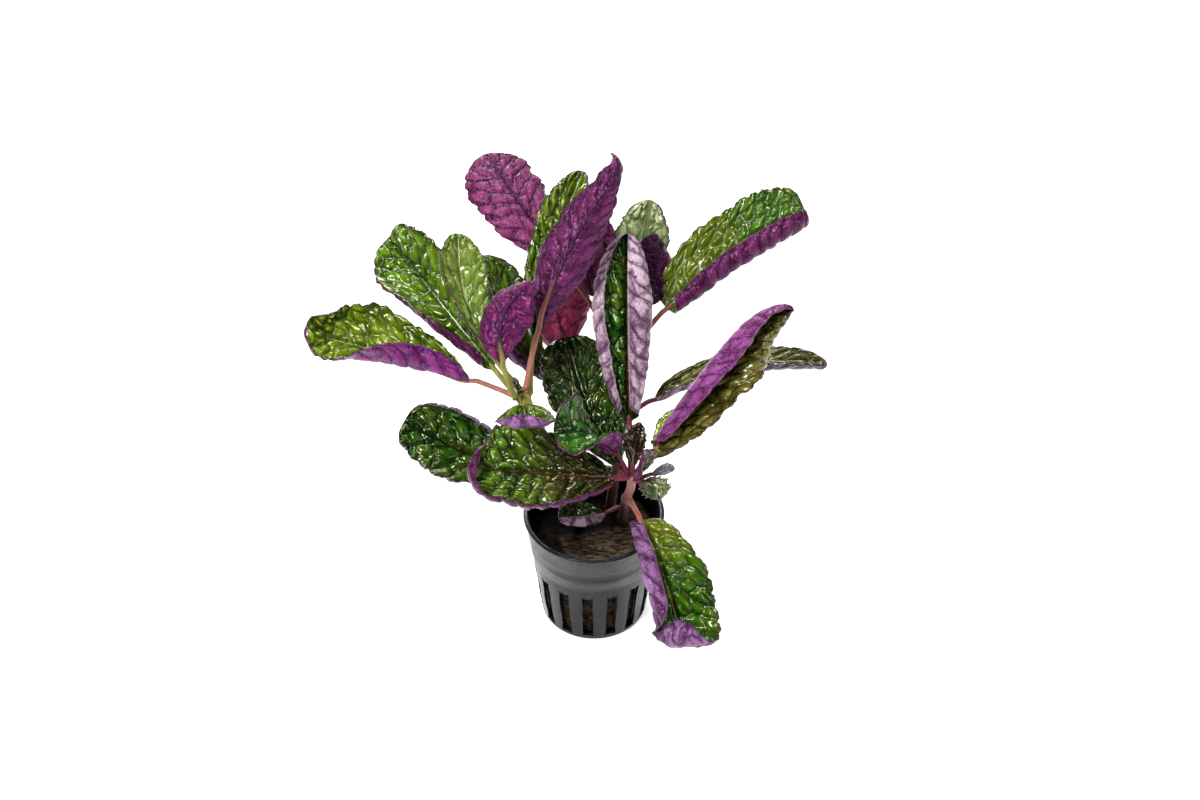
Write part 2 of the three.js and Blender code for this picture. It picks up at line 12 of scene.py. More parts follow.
import bpy
import numpy as np
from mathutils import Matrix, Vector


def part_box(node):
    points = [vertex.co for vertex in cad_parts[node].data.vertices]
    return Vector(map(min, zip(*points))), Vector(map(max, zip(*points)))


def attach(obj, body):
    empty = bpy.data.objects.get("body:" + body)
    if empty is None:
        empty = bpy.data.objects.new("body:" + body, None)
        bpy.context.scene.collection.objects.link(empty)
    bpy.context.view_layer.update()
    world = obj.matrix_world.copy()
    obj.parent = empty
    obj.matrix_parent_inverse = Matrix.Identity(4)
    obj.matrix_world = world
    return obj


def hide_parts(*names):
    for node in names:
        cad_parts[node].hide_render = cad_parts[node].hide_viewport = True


bl_info = {
    "name": "Purple waffle plant",
    "version": (1, 0, 0),
    "blender": (4, 5, 0),
    "location": "View3D > Sidebar > Waffle plant",
    "description": "Builds a potted purple waffle plant with puckered leaves, and a plain studio",
    "category": "Add Mesh",
}

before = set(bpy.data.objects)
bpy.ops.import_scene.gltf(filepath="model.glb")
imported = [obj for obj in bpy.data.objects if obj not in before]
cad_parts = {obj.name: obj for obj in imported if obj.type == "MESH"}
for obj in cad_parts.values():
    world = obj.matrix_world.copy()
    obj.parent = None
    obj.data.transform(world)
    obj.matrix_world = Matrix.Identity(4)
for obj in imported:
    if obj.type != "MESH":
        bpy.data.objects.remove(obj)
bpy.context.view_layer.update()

MM = 0.001

# The net pot. The middles are heights of rings between the others, and FIRST_SLOT is in degrees.
POT_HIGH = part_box("net_pot")[1]
WALL = 1.1
BASE_RADIUS = 18.9
WALL_MIDDLE = 27.0
STEP_HEIGHT = 30.6
STEP_DEPTH = 0.22
BAND_MIDDLE = 34.0
BAND_HEIGHT = 38.0
BAND_RADIUS = 23.3
POT_FLOOR = 1.3
DRAIN_RADIUS = 4.0
SLOT_COUNT = 15
SLOT_WIDTH = 4.0
SLOT_LEVELS = [2.2, 2.7, 6, 10, 14, 18, 23.1, 23.6]
FIRST_SLOT = -96.0
SLOT_COLUMNS = 3
RIB_COLUMNS = 6

# The rockwool plug.
PLUG_BOTTOM = 1.7
PLUG_TOP = 38.0
PLUG_GAP = 0.45
PLUG_SIDES = 200
SIDE_RINGS = 90
TOP_RINGS = 44
TOP_FIBRES = 330
SIDE_FIBRES = 190
# SIDE_LIGHT is how far the plug's side, seen through the slots, goes towards the pale fibre: the rest
# is painted shade inside the pot.
SIDE_LIGHT = 0.6
FIBRE_RADIUS = (0.05, 0.13)

# Leaf blades. VEIN_DEPTH and QUILT are shares of a blister's height: how far the veins lie
# below the blade's middle, and how far the underside bulges. BLISTER_RISE is how far from a
# valley a blister is at its full height. A pucker has a height, a pitch and a step of the seed.
BIG_BLADE = 30
SMALL_BLADE_GRID = (54, 14)
SMALL_BLADE_RELIEF = 0.6
VEIN_PITCH = 5.7
VEIN_SLANT = 0.1
VEIN_LEAD = 0.09
VEIN_DEPTH = 0.35
QUILT = 1.3
BLISTER_RISE = 3.1
BLISTER_SCATTER = (0.34, 0.42)
SIDE_STAGGER = 0.37
PUCKERS = ((0.42, 2.9, 9), (0.12, 1.5, 11))
CURL_SPAN = 0.6
CURL_EASE = 0.08
FOLD_EASE = 0.2
SECTION_STEPS = 16
FEWEST_TEETH = 7
FLOOR_GAP = 0.1

# Petioles and midribs. A petiole reaches JOINT_DEPTH of the way to its stem's centre line.
PETIOLE_RADIUS = 0.95
SMALL_PETIOLE = 0.75
PETIOLE_SIDES = 14
JOINT_DEPTH = 0.75
FOOT_SWELLING = 0.25
FOOT_LENGTH = 2.5
MIDRIB_GROOVE = 0.3
GROOVE_WIDTH = 0.9
MIDRIB_WIDTH = 0.55
MIDRIB_END = 0.96
MIDRIB_TIP = 0.16

# Stems, as centre lines through a few points, with swollen nodes at shares of their length, and
# colours at the foot, in the middle and at the head.
STEM_RADIUS = 1.6
STEM_RINGS = 150
STEM_SIDES = 28
NODE_SWELLING = 0.22
NODE_LENGTH = 0.035
STEMS = [
    {
        "name": "stem_front",
        "points": [[10, 6, 32], [10.5, 3, 42], [11.5, -1.5, 54], [13, -4, 62], [13, -5, 69]],
        "nodes": [0.6, 1],
        "colours": (0x5A3028, 0x8C5650, 0xA26C64),
    },
    {
        "name": "stem_left",
        "points": [[-4, 3, 32], [-7, 3, 44], [-13, 3, 62], [-18.5, 2.5, 84], [-24.2, -3, 105]],
        "nodes": [0.32, 0.94],
        "colours": (0x5A3A28, 0x7C7434, 0x93992C),
    },
    {
        "name": "stem_back",
        "points": [[5, 11, 32], [7, 13, 46], [9, 18, 64], [8, 26, 84], [7, 33, 99]],
        "nodes": [0.6, 0.84, 1],
        "colours": (0x48281E, 0x7E5240, 0x9A6A50),
    },
]

# The bud's short axis.
BUD_FOOT = np.array([-25.2, -3.2, 106.0])
BUD_TIP = np.array([-26.6, -2.6, 111.4])


@dataclass
class Top:
    """The upper side of a blade."""

    # valley and crown are one green in painted shade and painted light: darker in the creases round
    # the blisters, lighter on their tops.
    valley: int  # colour round the blisters
    crown: int  # colour on the blisters
    vein: int  # colour of the side veins
    rib: int  # colour of the midrib
    veined: float = 0.45  # how strongly the side veins show
    mottled: float = 0.4  # how strongly brown blotches show
    blush: int = 0  # colour that spreads from the base, or none
    blush_to: float = 0  # how far along the blade it spreads


TOPS = {
    "lime": Top(0x283C02, 0x667C04, 0x8C9A48, 0x8E9446, veined=0.35),
    "green": Top(0x182C02, 0x527604, 0x84986A, 0x7E8C60, veined=0.75),
    "young": Top(0x3C5012, 0x708632, 0x8E9E64, 0xA4AE7A, veined=0.5),
    "mossy": Top(0x122A06, 0x586E0A, 0x22380A, 0x465414),
    "deep": Top(0x051802, 0x265008, 0x0C2406, 0x18300E),
    "shade": Top(0x041202, 0x204408, 0x0A2008, 0x142C0E),
    "upright": Top(0x041802, 0x1E5006, 0x0C2C08, 0x5A241A),
    "front": Top(0x162402, 0x4A7002, 0x202E04, 0x7A3E28, blush=0x241404, blush_to=0.7),
    # pale is a grey-green whose light crowns also carry a painted white sheen.
    "pale": Top(0x707F4C, 0xC8D4A4, 0xA8B48C, 0xC0C8A8, veined=0.5, mottled=0.15),
    "right_up": Top(0x163404, 0x406A10, 0x8C9E84, 0x9CAC94, veined=0.55, blush=0x4E5A04,
        blush_to=0.75),
    "olive": Top(0x2E2C14, 0x686438, 0x4C3E30, 0x5A3A3C),
    "bronze": Top(0x2A2206, 0x625824, 0x241606, 0x7A4030),
    "bright": Top(0x385002, 0x7C9606, 0x5C7208, 0x8A9438),
    "jade": Top(0x062606, 0x2C6A1C, 0x2C6420, 0x64945C),
    "lower": Top(0x102A02, 0x346002, 0x203C02, 0x7A4628, blush=0x5E640A, blush_to=0.4),
    "dusk": Top(0x160608, 0x401A1C, 0x1C0A0E, 0x5A1E26),
    "ashen": Top(0x5E5A68, 0xB2B0BA, 0x4A4454, 0x7A7480, mottled=0.0),
    "toothed": Top(0x22301A, 0x56663E, 0x86907A, 0xA8AEA0, veined=0.7),
}

# The underside: colours between the veins in shade and in light, and of the veins.
UNDERS = {
    "magenta": (0x420E44, 0x7E2E70, 0x3C0436),
    "orchid": (0x4E1C48, 0x884482, 0x420C3A),
    "plum": (0x300426, 0x5C1C4C, 0x2A0220),
    "rose": (0x400A32, 0x7A345C, 0x300422),
    "wine": (0x5C0A2A, 0x96324E, 0x340214),
    "berry": (0x340230, 0x5C0E44, 0x240220),
    # ink is a near-black purple: painted shade on the dark back leaf, and the dark tip leaf's own
    # colour.
    "ink": (0x1A0014, 0x3A062C, 0x0A0008),
    "silver": (0x5A4054, 0xBCA6B2, 0x3A1A32),
    "lilac": (0x3E1E42, 0x865E8A, 0x2A0E30),
    "grey": (0x3C3042, 0x8A7A90, 0x2A1E30),
}

# Petioles, from the stem to the blade.
STALKS = {
    "pink": 0x9A664E,
    "green": 0x7E862C,
    "red": 0x6A2C32,
    "orange": 0xA06450,
    "brown": 0x865446,
}

# Colours of single features.
MOTTLING = 0x6A5406
MARGIN = 0x2A121C
STALK_FLECKS = 0x5A2E28
UPPER_GLEAM = 0xDCEE90
LOWER_GLEAM = 0xE8A4DC
LOWER_SHEEN = 0xD090C8
STEM_STREAKS = 0x4A241C
STEM_NODES = 0xA8A050
POT_COLOURS = (0x0D0E11, 0x17181B)
POT_FLOW = 0x0C0D0F
POT_DUST = 0x5A564E
# Rockwool: a near-black painted shade for the hollows and the top away from the slab, and the pale
# fibre.
SHADED_ROCKWOOL = (0x020201, 0x18120D)
PALE_ROCKWOOL = (0x060403, 0x6C5A44)
ROCKWOOL_GRAIN = 0x64563F
BUD_COLOURS = (0x26301E, 0x6C6A60)
BUD_FLECKS = 0x2E1A2C
FLOOR_CLOUD = 0xD8D8D8


@dataclass
class Leaf:
    """A leaf as the solids have it, in millimetres and degrees. A pair is for left and right."""

    name: str
    start: tuple  # where the petiole leaves its stem
    heading: float  # direction seen from above, 0 along +X and 90 along +Y
    rise: float  # angle above level
    droop: float  # change of the rise by the tip
    petiole: float  # length of the petiole
    blade: float  # length of the blade
    width: float
    fold: tuple  # how far each half bends up at the midrib
    curl: tuple  # how far it rolls in at the base, from curl_from outward
    ruffle: float  # how far the margin waves
    top: str
    under: str
    stalk: str
    swing: float = 0  # change of the heading by the tip
    turn: float = 0  # roll of the blade about its midrib
    twist: float = 0  # change of the turn by the tip
    curl_middle: tuple = None  # the curl half-way, the mean of base and tip if not given
    curl_tip: tuple = None  # the curl at the tip, that of the base if not given
    curl_from: tuple = (0.3, 0.3)  # where it starts, as a share of the half width
    hook: float = 0  # bend of the midrib upward, from hook_from to the tip
    veer: float = 0  # bend of the midrib to the left there
    hook_from: float = 0.7
    widest: float = 0.52
    shoulder: float = 0.68  # low for a broad base
    point: float = 0.5  # low for a blunt tip
    relief: float = 0  # how bold the blisters are, by the blade's size if not given
    blister_width: float = 4.1
    teeth: float = 0  # depth of pointed teeth, as a share of the half width


LEAVES = [
    Leaf("leaf_far_left", (-26.8, -2.4, 103), heading=160, swing=16, rise=12, droop=-2,
         petiole=16, blade=60, width=30, turn=19, twist=-60, fold=(20, 10), curl=(140, 20),
         curl_middle=(80, 30), curl_tip=(0, 30), curl_from=(0.1, 0.3), hook=90, ruffle=1.4,
         top="lime", under="magenta", stalk="pink"),
    Leaf("leaf_upper_left", (-24.6, -0.2, 98), heading=143, swing=-20, rise=38.5, droop=-27,
         petiole=15, blade=62, width=28, turn=-30, twist=-24, fold=(15, 13), curl=(150, 28),
         curl_tip=(20, 28), curl_from=(0.2, 0.3), point=0.38, ruffle=0.5, blister_width=6.5,
         top="green", under="plum", stalk="green"),
    Leaf("leaf_young_left", (-26.2, -1.2, 107), heading=150, swing=-61, rise=39, droop=7,
         petiole=17, blade=39, width=18, turn=8, twist=4, fold=(28, 28), curl=(20, 20),
         ruffle=0.4, relief=0.5, top="young", under="plum", stalk="green"),
    Leaf("leaf_behind_left", (5.8, 18, 74), heading=158, swing=-37, rise=8, droop=60, petiole=27,
         blade=50, width=24, turn=-9, twist=5, fold=(9, 10), curl=(150, 30), curl_tip=(80, 30),
         curl_from=(0.35, 0.3), ruffle=0.4, top="green", under="plum", stalk="brown"),
    Leaf("leaf_small_purple", (-26.2, -7, 105.6), heading=165, swing=-165, rise=72, droop=-44,
         petiole=14, blade=31, width=19, turn=180, fold=(8, 8), curl=(25, 25), point=0.75,
         ruffle=0.4, top="green", under="berry", stalk="green"),
    Leaf("leaf_top_left", (5, 34, 99.5), heading=160, swing=-44, rise=64, droop=-54, petiole=29,
         blade=51, width=27, turn=178, fold=(5, 5), curl=(23, 24), widest=0.56, point=0.36,
         ruffle=0.9, top="green", under="rose", stalk="brown"),
    Leaf("leaf_top", (-22.6, -1.6, 106.4), heading=77, swing=-52, rise=49, droop=-4, petiole=22,
         blade=65, width=18, turn=180, twist=40, fold=(45, 5), curl=(40, 20), curl_tip=(10, 45),
         hook=-50, veer=120, widest=0.3, point=0.9, ruffle=1.7, top="green", under="plum",
         stalk="pink"),
    Leaf("leaf_behind_top", (-21.6, 0.2, 101.8), heading=88, swing=-36, rise=44, droop=4,
         petiole=18, blade=60, width=18, twist=10, fold=(5, 30), curl=(20, 30), ruffle=0.5,
         top="mossy", under="plum", stalk="green"),
    Leaf("leaf_upper_centre", (6.6, 33.2, 101.9), heading=143, swing=-83, rise=50, droop=-6,
         petiole=13, blade=31, width=18, turn=160, fold=(10, 11), curl=(35, 36), ruffle=0.5,
         top="green", under="rose", stalk="brown"),
    Leaf("leaf_back_centre", (5.4, 27.4, 89), heading=159, swing=-74, rise=-11, droop=87,
         petiole=17, blade=25, width=25, turn=156, fold=(10, 11), curl=(35, 36), ruffle=0.4,
         top="green", under="wine", stalk="brown"),
    Leaf("leaf_broad_centre", (11.4, -2.8, 66.6), heading=136, swing=-32, rise=37, droop=3,
         petiole=4, blade=49, width=29, turn=5, twist=-15, fold=(7, 7), curl=(34, 35), point=0.4,
         ruffle=0.4, top="shade", under="plum", stalk="red"),
    Leaf("leaf_upright_centre", (13, -2.4, 71.2), heading=95, swing=-7, rise=60, droop=-19,
         petiole=15, blade=65, width=34, turn=2, fold=(5, 5), curl=(165, 175),
         curl_from=(0.42, 0.2), point=0.6, ruffle=1, top="upright", under="silver", stalk="red"),
    Leaf("leaf_pale_back", (7.8, 35.2, 98), heading=72, rise=5, droop=66, petiole=15, blade=38,
         width=21, fold=(15, 15), curl=(40, 40), ruffle=0.5, top="pale", under="plum",
         stalk="brown"),
    Leaf("leaf_dark_back", (9.2, 33.4, 99), heading=22, swing=100, rise=20, droop=41, petiole=15,
         blade=26, width=13, turn=180, fold=(15, 15), curl=(40, 40), ruffle=0.4, top="green",
         under="ink", stalk="brown"),
    Leaf("leaf_upper_right", (10.2, 29, 90), heading=41, swing=-27, rise=45, droop=-29,
         petiole=25, blade=60, width=29, turn=10, fold=(6, 6), curl=(40, 175), curl_tip=(40, 150),
         curl_from=(0.3, 0.32), shoulder=0.34, point=0.2, ruffle=1.3, relief=1.1, top="right_up",
         under="plum", stalk="pink"),
    Leaf("leaf_far_right", (10.6, 18.4, 74), heading=22, swing=-28, rise=32, droop=-38,
         petiole=13, blade=63, width=15, turn=-14, fold=(8, 8), curl=(60, 40), shoulder=0.4,
         ruffle=0.8, top="olive", under="grey", stalk="red"),
    Leaf("leaf_right", (15.6, -4.4, 68.8), heading=19, swing=22, rise=60, droop=-30, petiole=12,
         blade=70, width=30, turn=13, twist=-4, fold=(70, 0), curl=(95, 9), curl_middle=(95, 10),
         curl_tip=(95, -240), curl_from=(0, 0.3), hook_from=0.6, veer=-80, shoulder=0.45,
         point=0.36, ruffle=0.8, relief=0.4, top="bronze", under="orchid", stalk="orange"),
    Leaf("leaf_short_right", (15.2, -3, 66.2), heading=32, swing=20, rise=40, droop=-24,
         petiole=9, blade=21, width=15, fold=(10, 10), curl=(20, 20), ruffle=0.3, top="bright",
         under="plum", stalk="orange"),
    Leaf("leaf_lower_left", (-14.2, 3.8, 57.5), heading=183, swing=-24, rise=22, droop=0,
         petiole=9, blade=48, width=28, turn=-18, twist=-4, fold=(7, 8), curl=(20, 190),
         curl_tip=(20, 120), curl_from=(0.3, 0.5), point=0.36, ruffle=0.4, top="deep",
         under="grey", stalk="brown"),
    Leaf("leaf_front", (10.4, -6, 68.2), heading=-163, swing=-13, rise=20, droop=-11, petiole=3,
         blade=56, width=34, turn=-20, fold=(4, 6), curl=(150, 20), curl_tip=(130, 20),
         curl_from=(0.6, 0.3), hook=140, hook_from=0.75, ruffle=0.6, top="front", under="plum",
         stalk="red"),
    Leaf("leaf_cupped", (11, -4.6, 70.8), heading=184, swing=14, rise=76, droop=-66, petiole=9,
         blade=27, width=25, turn=85, twist=-140, fold=(12, 12), curl=(35, 35), curl_tip=(50, 50),
         widest=0.58, point=0.3, ruffle=0.9, relief=0.8, top="jade", under="orchid", stalk="red"),
    Leaf("leaf_below_left_node", (-23.8, -5.6, 102.8), heading=-80, swing=-15, rise=7, droop=-10,
         petiole=1, blade=19, width=20, fold=(5, 5), curl=(15, 15), hook=170, hook_from=0.45,
         point=0.4, ruffle=0.3, top="mossy", under="lilac", stalk="green"),
    Leaf("leaf_tip_dark", (13.5, -4.6, 71.8), heading=70, rise=86, droop=-42, petiole=1, blade=16,
         width=8.5, fold=(15, 15), curl=(30, 30), point=0.9, ruffle=0.4, relief=0.4, teeth=0.14,
         top="dusk", under="ink", stalk="red"),
    Leaf("leaf_tip_purple", (14.4, -7.4, 70), heading=-31, rise=64, droop=25, petiole=1, blade=13,
         width=12, turn=180, fold=(15, 15), curl=(30, 30), ruffle=0.4, relief=0.4, teeth=0.2,
         top="dusk", under="berry", stalk="red"),
    Leaf("leaf_tip_toothed", (15, -6.8, 67.2), heading=-37, swing=-29, rise=46, droop=-87,
         petiole=3, blade=11, width=11, fold=(5, 5), curl=(20, 20), point=0.8, ruffle=0.3,
         relief=0.4, teeth=0.24, top="toothed", under="grey", stalk="red"),
    Leaf("leaf_over_pot", (8.2, 1.2, 47), heading=-143, swing=-26, rise=0, droop=20, petiole=5,
         blade=18, width=17, fold=(5, 5), curl=(120, 30), ruffle=0.5, top="deep", under="silver",
         stalk="brown"),
    Leaf("leaf_lower_right", (12.8, -4, 54.8), heading=-72, swing=16, rise=15, droop=-118,
         petiole=11, blade=60, width=28, turn=3, fold=(5, 5), curl=(25, 178),
         curl_middle=(25, 130), curl_tip=(20, 0), curl_from=(0.3, 0.25), hook=290, hook_from=0.5,
         veer=-75, widest=0.42, shoulder=0.38, point=0.4, ruffle=0.6, top="lower", under="lilac",
         stalk="orange"),
    Leaf("leaf_tip_pale", (15.8, -5, 66.8), heading=6, rise=27, droop=-17, petiole=5, blade=8,
         width=5, fold=(5, 5), curl=(20, 20), ruffle=0.2, relief=0.4, top="ashen", under="grey",
         stalk="red"),
]

# Lights: name, place and aim in metres, side in metres, and power in watts.
LIGHTS = [
    ("key", (-0.4, -0.45, 0.95), (0.0, 0.0, 0.09), 0.34, 14.0),
    ("fill", (0.8, -0.5, 0.5), (0.0, 0.0, 0.09), 0.3, 2.0),
    ("back", (-0.15, 0.85, 0.75), (0.0, 0.0, 0.1), 0.45, 9.0),
    ("above", (0.2, 0.05, 1.1), (0.0, 0.0, 0.0), 0.25, 4.0),
]
FLOOR_SIDE = 8.0

# The camera looks along +Y and down at the plant.
CAMERA_PLACE = (0.002195, -0.5946, 0.62275)
SENSOR_WIDTH = 36.0
CAMERA_CLIP = 0.01


def linear(code):
    """A display colour such as 0x6E4436 as linear red, green, blue and alpha."""
    parts = [((code >> shift) & 255) / 255 for shift in (16, 8, 0)]
    low = [p / 12.92 if p <= 0.04045 else ((p + 0.055) / 1.055) ** 2.4 for p in parts]
    return (*low, 1.0)


def smoothstep(x, low, high):
    """0 below low, 1 above high, with soft ends."""
    s = np.clip((x - low) / (high - low), 0, 1)
    return s * s * (3 - 2 * s)


def bell(x):
    """1 at 0, and softly down to 0 on both sides."""
    return np.exp(-(x ** 2))


def turns(count):
    """Even angles round a full turn."""
    return np.linspace(0, 2 * np.pi, count, endpoint=False)


def unit(vectors):
    """Each vector at length 1."""
    return vectors / np.linalg.norm(vectors, axis=1)[:, None]


def smooth_noise(x, y, seed):
    """Smooth values from -1 to 1 over the plane, the same for the same seed."""
    cells = 64
    lattice = np.random.RandomState(seed).uniform(-1, 1, (cells, cells))
    x0 = np.floor(x).astype(int)
    y0 = np.floor(y).astype(int)
    fx = smoothstep(x - x0, 0, 1)
    fy = smoothstep(y - y0, 0, 1)

    def corner(dx, dy):
        return lattice[(x0 + dx) % cells, (y0 + dy) % cells]

    near = corner(0, 0) * (1 - fx) + corner(1, 0) * fx
    far = corner(0, 1) * (1 - fx) + corner(1, 1) * fx
    return near * (1 - fy) + far * fy


def about_axis(angle, radius, z):
    """Points at an angle and a radius about the pot's axis, at a height."""
    return np.stack(np.broadcast_arrays(np.cos(angle) * radius, np.sin(angle) * radius, z), -1)


def across_line(line, guide):
    """Two directions across a line: one at right angles to the guide, and one to the first."""
    tangent = unit(np.gradient(line, axis=0))
    side = unit(np.cross(tangent, guide))
    return side, np.cross(side, tangent)


def tube(line, side, above, wide, deep):
    """Rings round a line, wide along side and deep along above at each point of each ring."""
    return line[:, None] + wide[..., None] * side[:, None] + deep[..., None] * above[:, None]


def above_floor(points):
    """The points, lifted where they would go below the surface that the pot stands on."""
    points[..., 2] = np.maximum(points[..., 2], FLOOR_GAP)
    return points


class Mesh:
    """Vertices, faces and values on the vertices, gathered before one object is made."""

    def __init__(self):
        self.points = []
        self.faces = []
        self.values = {}
        self.count = 0

    def add(self, points, faces, **values):
        """Adds points of shape (n, 3) in millimetres, lists of faces, and a value for each point."""
        self.points.append(np.asarray(points, float))
        self.faces += [np.asarray(group, int) + self.count for group in faces]
        for name, value in values.items():
            self.values.setdefault(name, []).append(np.broadcast_to(value, len(points)))
        self.count += len(points)

    def skin(self, rings, **values):
        """Adds a closed skin over rings of shape (rings, points, 3), with a fan at each end."""
        rows, around = rings.shape[:2]
        first = np.arange(around)
        following = (first + 1) % around
        row = np.arange(rows - 1)[:, None] * around
        here = row + first
        beside = row + following
        quads = np.stack([here, beside, beside + around, here + around], -1).reshape(-1, 4)
        start, end = rows * around, rows * around + 1
        last = (rows - 1) * around
        near = np.stack([np.full(around, start), following, first], -1)
        far = np.stack([np.full(around, end), last + first, last + following], -1)
        points = np.concatenate([rings.reshape(-1, 3), rings[:1].mean(1), rings[-1:].mean(1)])
        flat = {}
        for name, value in values.items():
            grid = np.broadcast_to(value, (rows, around))
            flat[name] = np.append(grid, [grid[0].mean(), grid[-1].mean()])
        self.add(points, [quads, near, far], **flat)

    def build(self, name, material, sharp_over=None):
        """Makes the object, smooth except at edges sharper than sharp_over degrees."""
        points = np.concatenate(self.points) * MM
        loops = np.concatenate([face.ravel() for face in self.faces])
        sizes = np.concatenate([np.full(len(face), face.shape[1]) for face in self.faces])
        mesh = bpy.data.meshes.new(name)
        mesh.vertices.add(len(points))
        mesh.vertices.foreach_set("co", points.astype(np.float32).ravel())
        mesh.loops.add(len(loops))
        mesh.loops.foreach_set("vertex_index", loops.astype(np.int32))
        mesh.polygons.add(len(sizes))
        starts = np.concatenate([[0], np.cumsum(sizes)[:-1]])
        mesh.polygons.foreach_set("loop_start", starts.astype(np.int32))
        mesh.polygons.foreach_set("use_smooth", np.ones(len(sizes), bool))
        mesh.update(calc_edges=True)
        mesh.validate()
        if sharp_over is not None:
            mesh.set_sharp_from_angle(angle=math.radians(sharp_over))
        for key, parts in self.values.items():
            layer = mesh.attributes.new(key, "FLOAT", "POINT")
            layer.data.foreach_set("value", np.concatenate(parts).astype(np.float32))
        mesh.materials.append(material)
        piece = bpy.data.objects.new(name, mesh)
        bpy.context.scene.collection.objects.link(piece)
        return piece


def place(piece, node):
    """Puts a finished piece in the part, standing for the solid of the same place."""
    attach(piece, "root")
    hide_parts(node)


class Wire:
    """An output of a node. Sums on it add Math nodes."""

    def __init__(self, shader, output):
        self.shader = shader
        self.output = output

    def math(self, operation, *values):
        inputs = dict(enumerate(values))
        return self.shader.node("ShaderNodeMath", {"operation": operation}, inputs)

    def __add__(self, other):
        return self.math("ADD", self, other)

    __radd__ = __add__

    def __sub__(self, other):
        return self.math("SUBTRACT", self, other)

    def __rsub__(self, other):
        return self.math("SUBTRACT", other, self)

    def __mul__(self, other):
        return self.math("MULTIPLY", self, other)

    __rmul__ = __mul__

    def __abs__(self):
        return self.math("ABSOLUTE", self)

    def wave(self):
        """Goes from 0 up to 1 and back to 0 in each whole step."""
        return abs(self.math("SINE", self * math.pi))

    def rise(self, low, high):
        """0 below low, 1 above high, with soft ends."""
        settings = {"interpolation_type": "SMOOTHSTEP"}
        inputs = {"Value": self, "From Min": low, "From Max": high}
        return self.shader.node("ShaderNodeMapRange", settings, inputs)


class Shader:
    """A material and the nodes in it."""

    def __init__(self, name):
        self.material = bpy.data.materials.new(name)
        self.material.use_nodes = True
        self.tree = self.material.node_tree
        self.tree.nodes.clear()

    def node(self, kind, settings=None, inputs=None, output=0):
        """Adds a node: its settings first, then the values or links of its sockets."""
        made = self.tree.nodes.new(kind)
        for name, value in (settings or {}).items():
            setattr(made, name, value)
        for name, value in (inputs or {}).items():
            if isinstance(value, Wire):
                self.tree.links.new(value.output, made.inputs[name])
            else:
                made.inputs[name].default_value = value
        return Wire(self, made.outputs[output])

    def value(self, name):
        """A value kept on the mesh's points."""
        return self.node("ShaderNodeAttribute", {"attribute_name": name}, output="Fac")

    def position(self):
        """The place in the object's own space, in metres."""
        return self.node("ShaderNodeTexCoord", output="Object")

    def noise(self, position, scale, detail=3.0, roughness=0.55, stretch=None, output=0):
        """Cloudy values about 0.5. Scale is in bumps per metre."""
        if stretch:
            position = self.node("ShaderNodeMapping", {}, {"Vector": position, "Scale": stretch})
        inputs = {"Vector": position, "Scale": scale, "Detail": detail, "Roughness": roughness}
        return self.node("ShaderNodeTexNoise", {}, inputs, output)

    def vectors(self, operation, first, second, socket=1):
        """A sum on vectors, with the second value on the socket named."""
        inputs = {0: first, socket: second}
        return self.node("ShaderNodeVectorMath", {"operation": operation}, inputs)

    def mix(self, factor, first, second):
        """First where factor is 0 and second where it is 1. Each is a wire or a colour's code."""
        settings = {"data_type": "RGBA", "clamp_factor": True}
        first, second = (linear(each) if isinstance(each, int) else each for each in (first, second))
        return self.node("ShaderNodeMix", settings, {0: factor, 6: first, 7: second}, output=2)

    def blend(self, factor, first, second):
        """The first surface where factor is 0 and the second where it is 1."""
        return self.node("ShaderNodeMixShader", {}, {0: factor, 1: first, 2: second})

    def bump(self, height, distance):
        """The surface direction with a height in it. Distance is in metres."""
        return self.node("ShaderNodeBump", {}, {"Height": height, "Distance": distance})

    def surface(self, **inputs):
        """A surface, with its sockets by name."""
        named = {name.replace("_", " "): value for name, value in inputs.items()}
        return self.node("ShaderNodeBsdfPrincipled", {}, named)

    def finish(self, surface):
        """Ends the material with a surface."""
        out = self.tree.nodes.new("ShaderNodeOutputMaterial")
        self.tree.links.new(surface.output, out.inputs["Surface"])
        return self.material


def blister_gaps(strip, across, pitch, width, seed):
    """How far each point is from the valleys round its blister, and that blister's height."""
    scatter = np.random.RandomState(seed + 5).uniform(-1, 1, (3, 64, 16))
    nearest = np.full(strip.shape, 1e6)
    second = nearest.copy()
    tall = np.zeros(strip.shape)
    for step in (-1, 0, 1):
        i = np.floor(strip).astype(int) + step
        shift = scatter[2, i % 64, 0]
        for side_step in (-1, 0, 1):
            j = np.floor(across - shift).astype(int) + side_step
            along_by, across_by, taller = scatter[:, i % 64, j % 16]
            x = (i + 0.5 + BLISTER_SCATTER[0] * along_by - strip) * pitch
            y = (j + 0.5 + shift + BLISTER_SCATTER[1] * across_by - across) * width
            distance = np.hypot(x, y)
            closer = distance < nearest
            second = np.where(closer, nearest, np.minimum(second, distance))
            tall = np.where(closer, 0.8 + 0.28 * taller, tall)
            nearest = np.minimum(nearest, distance)
    return second - nearest, tall


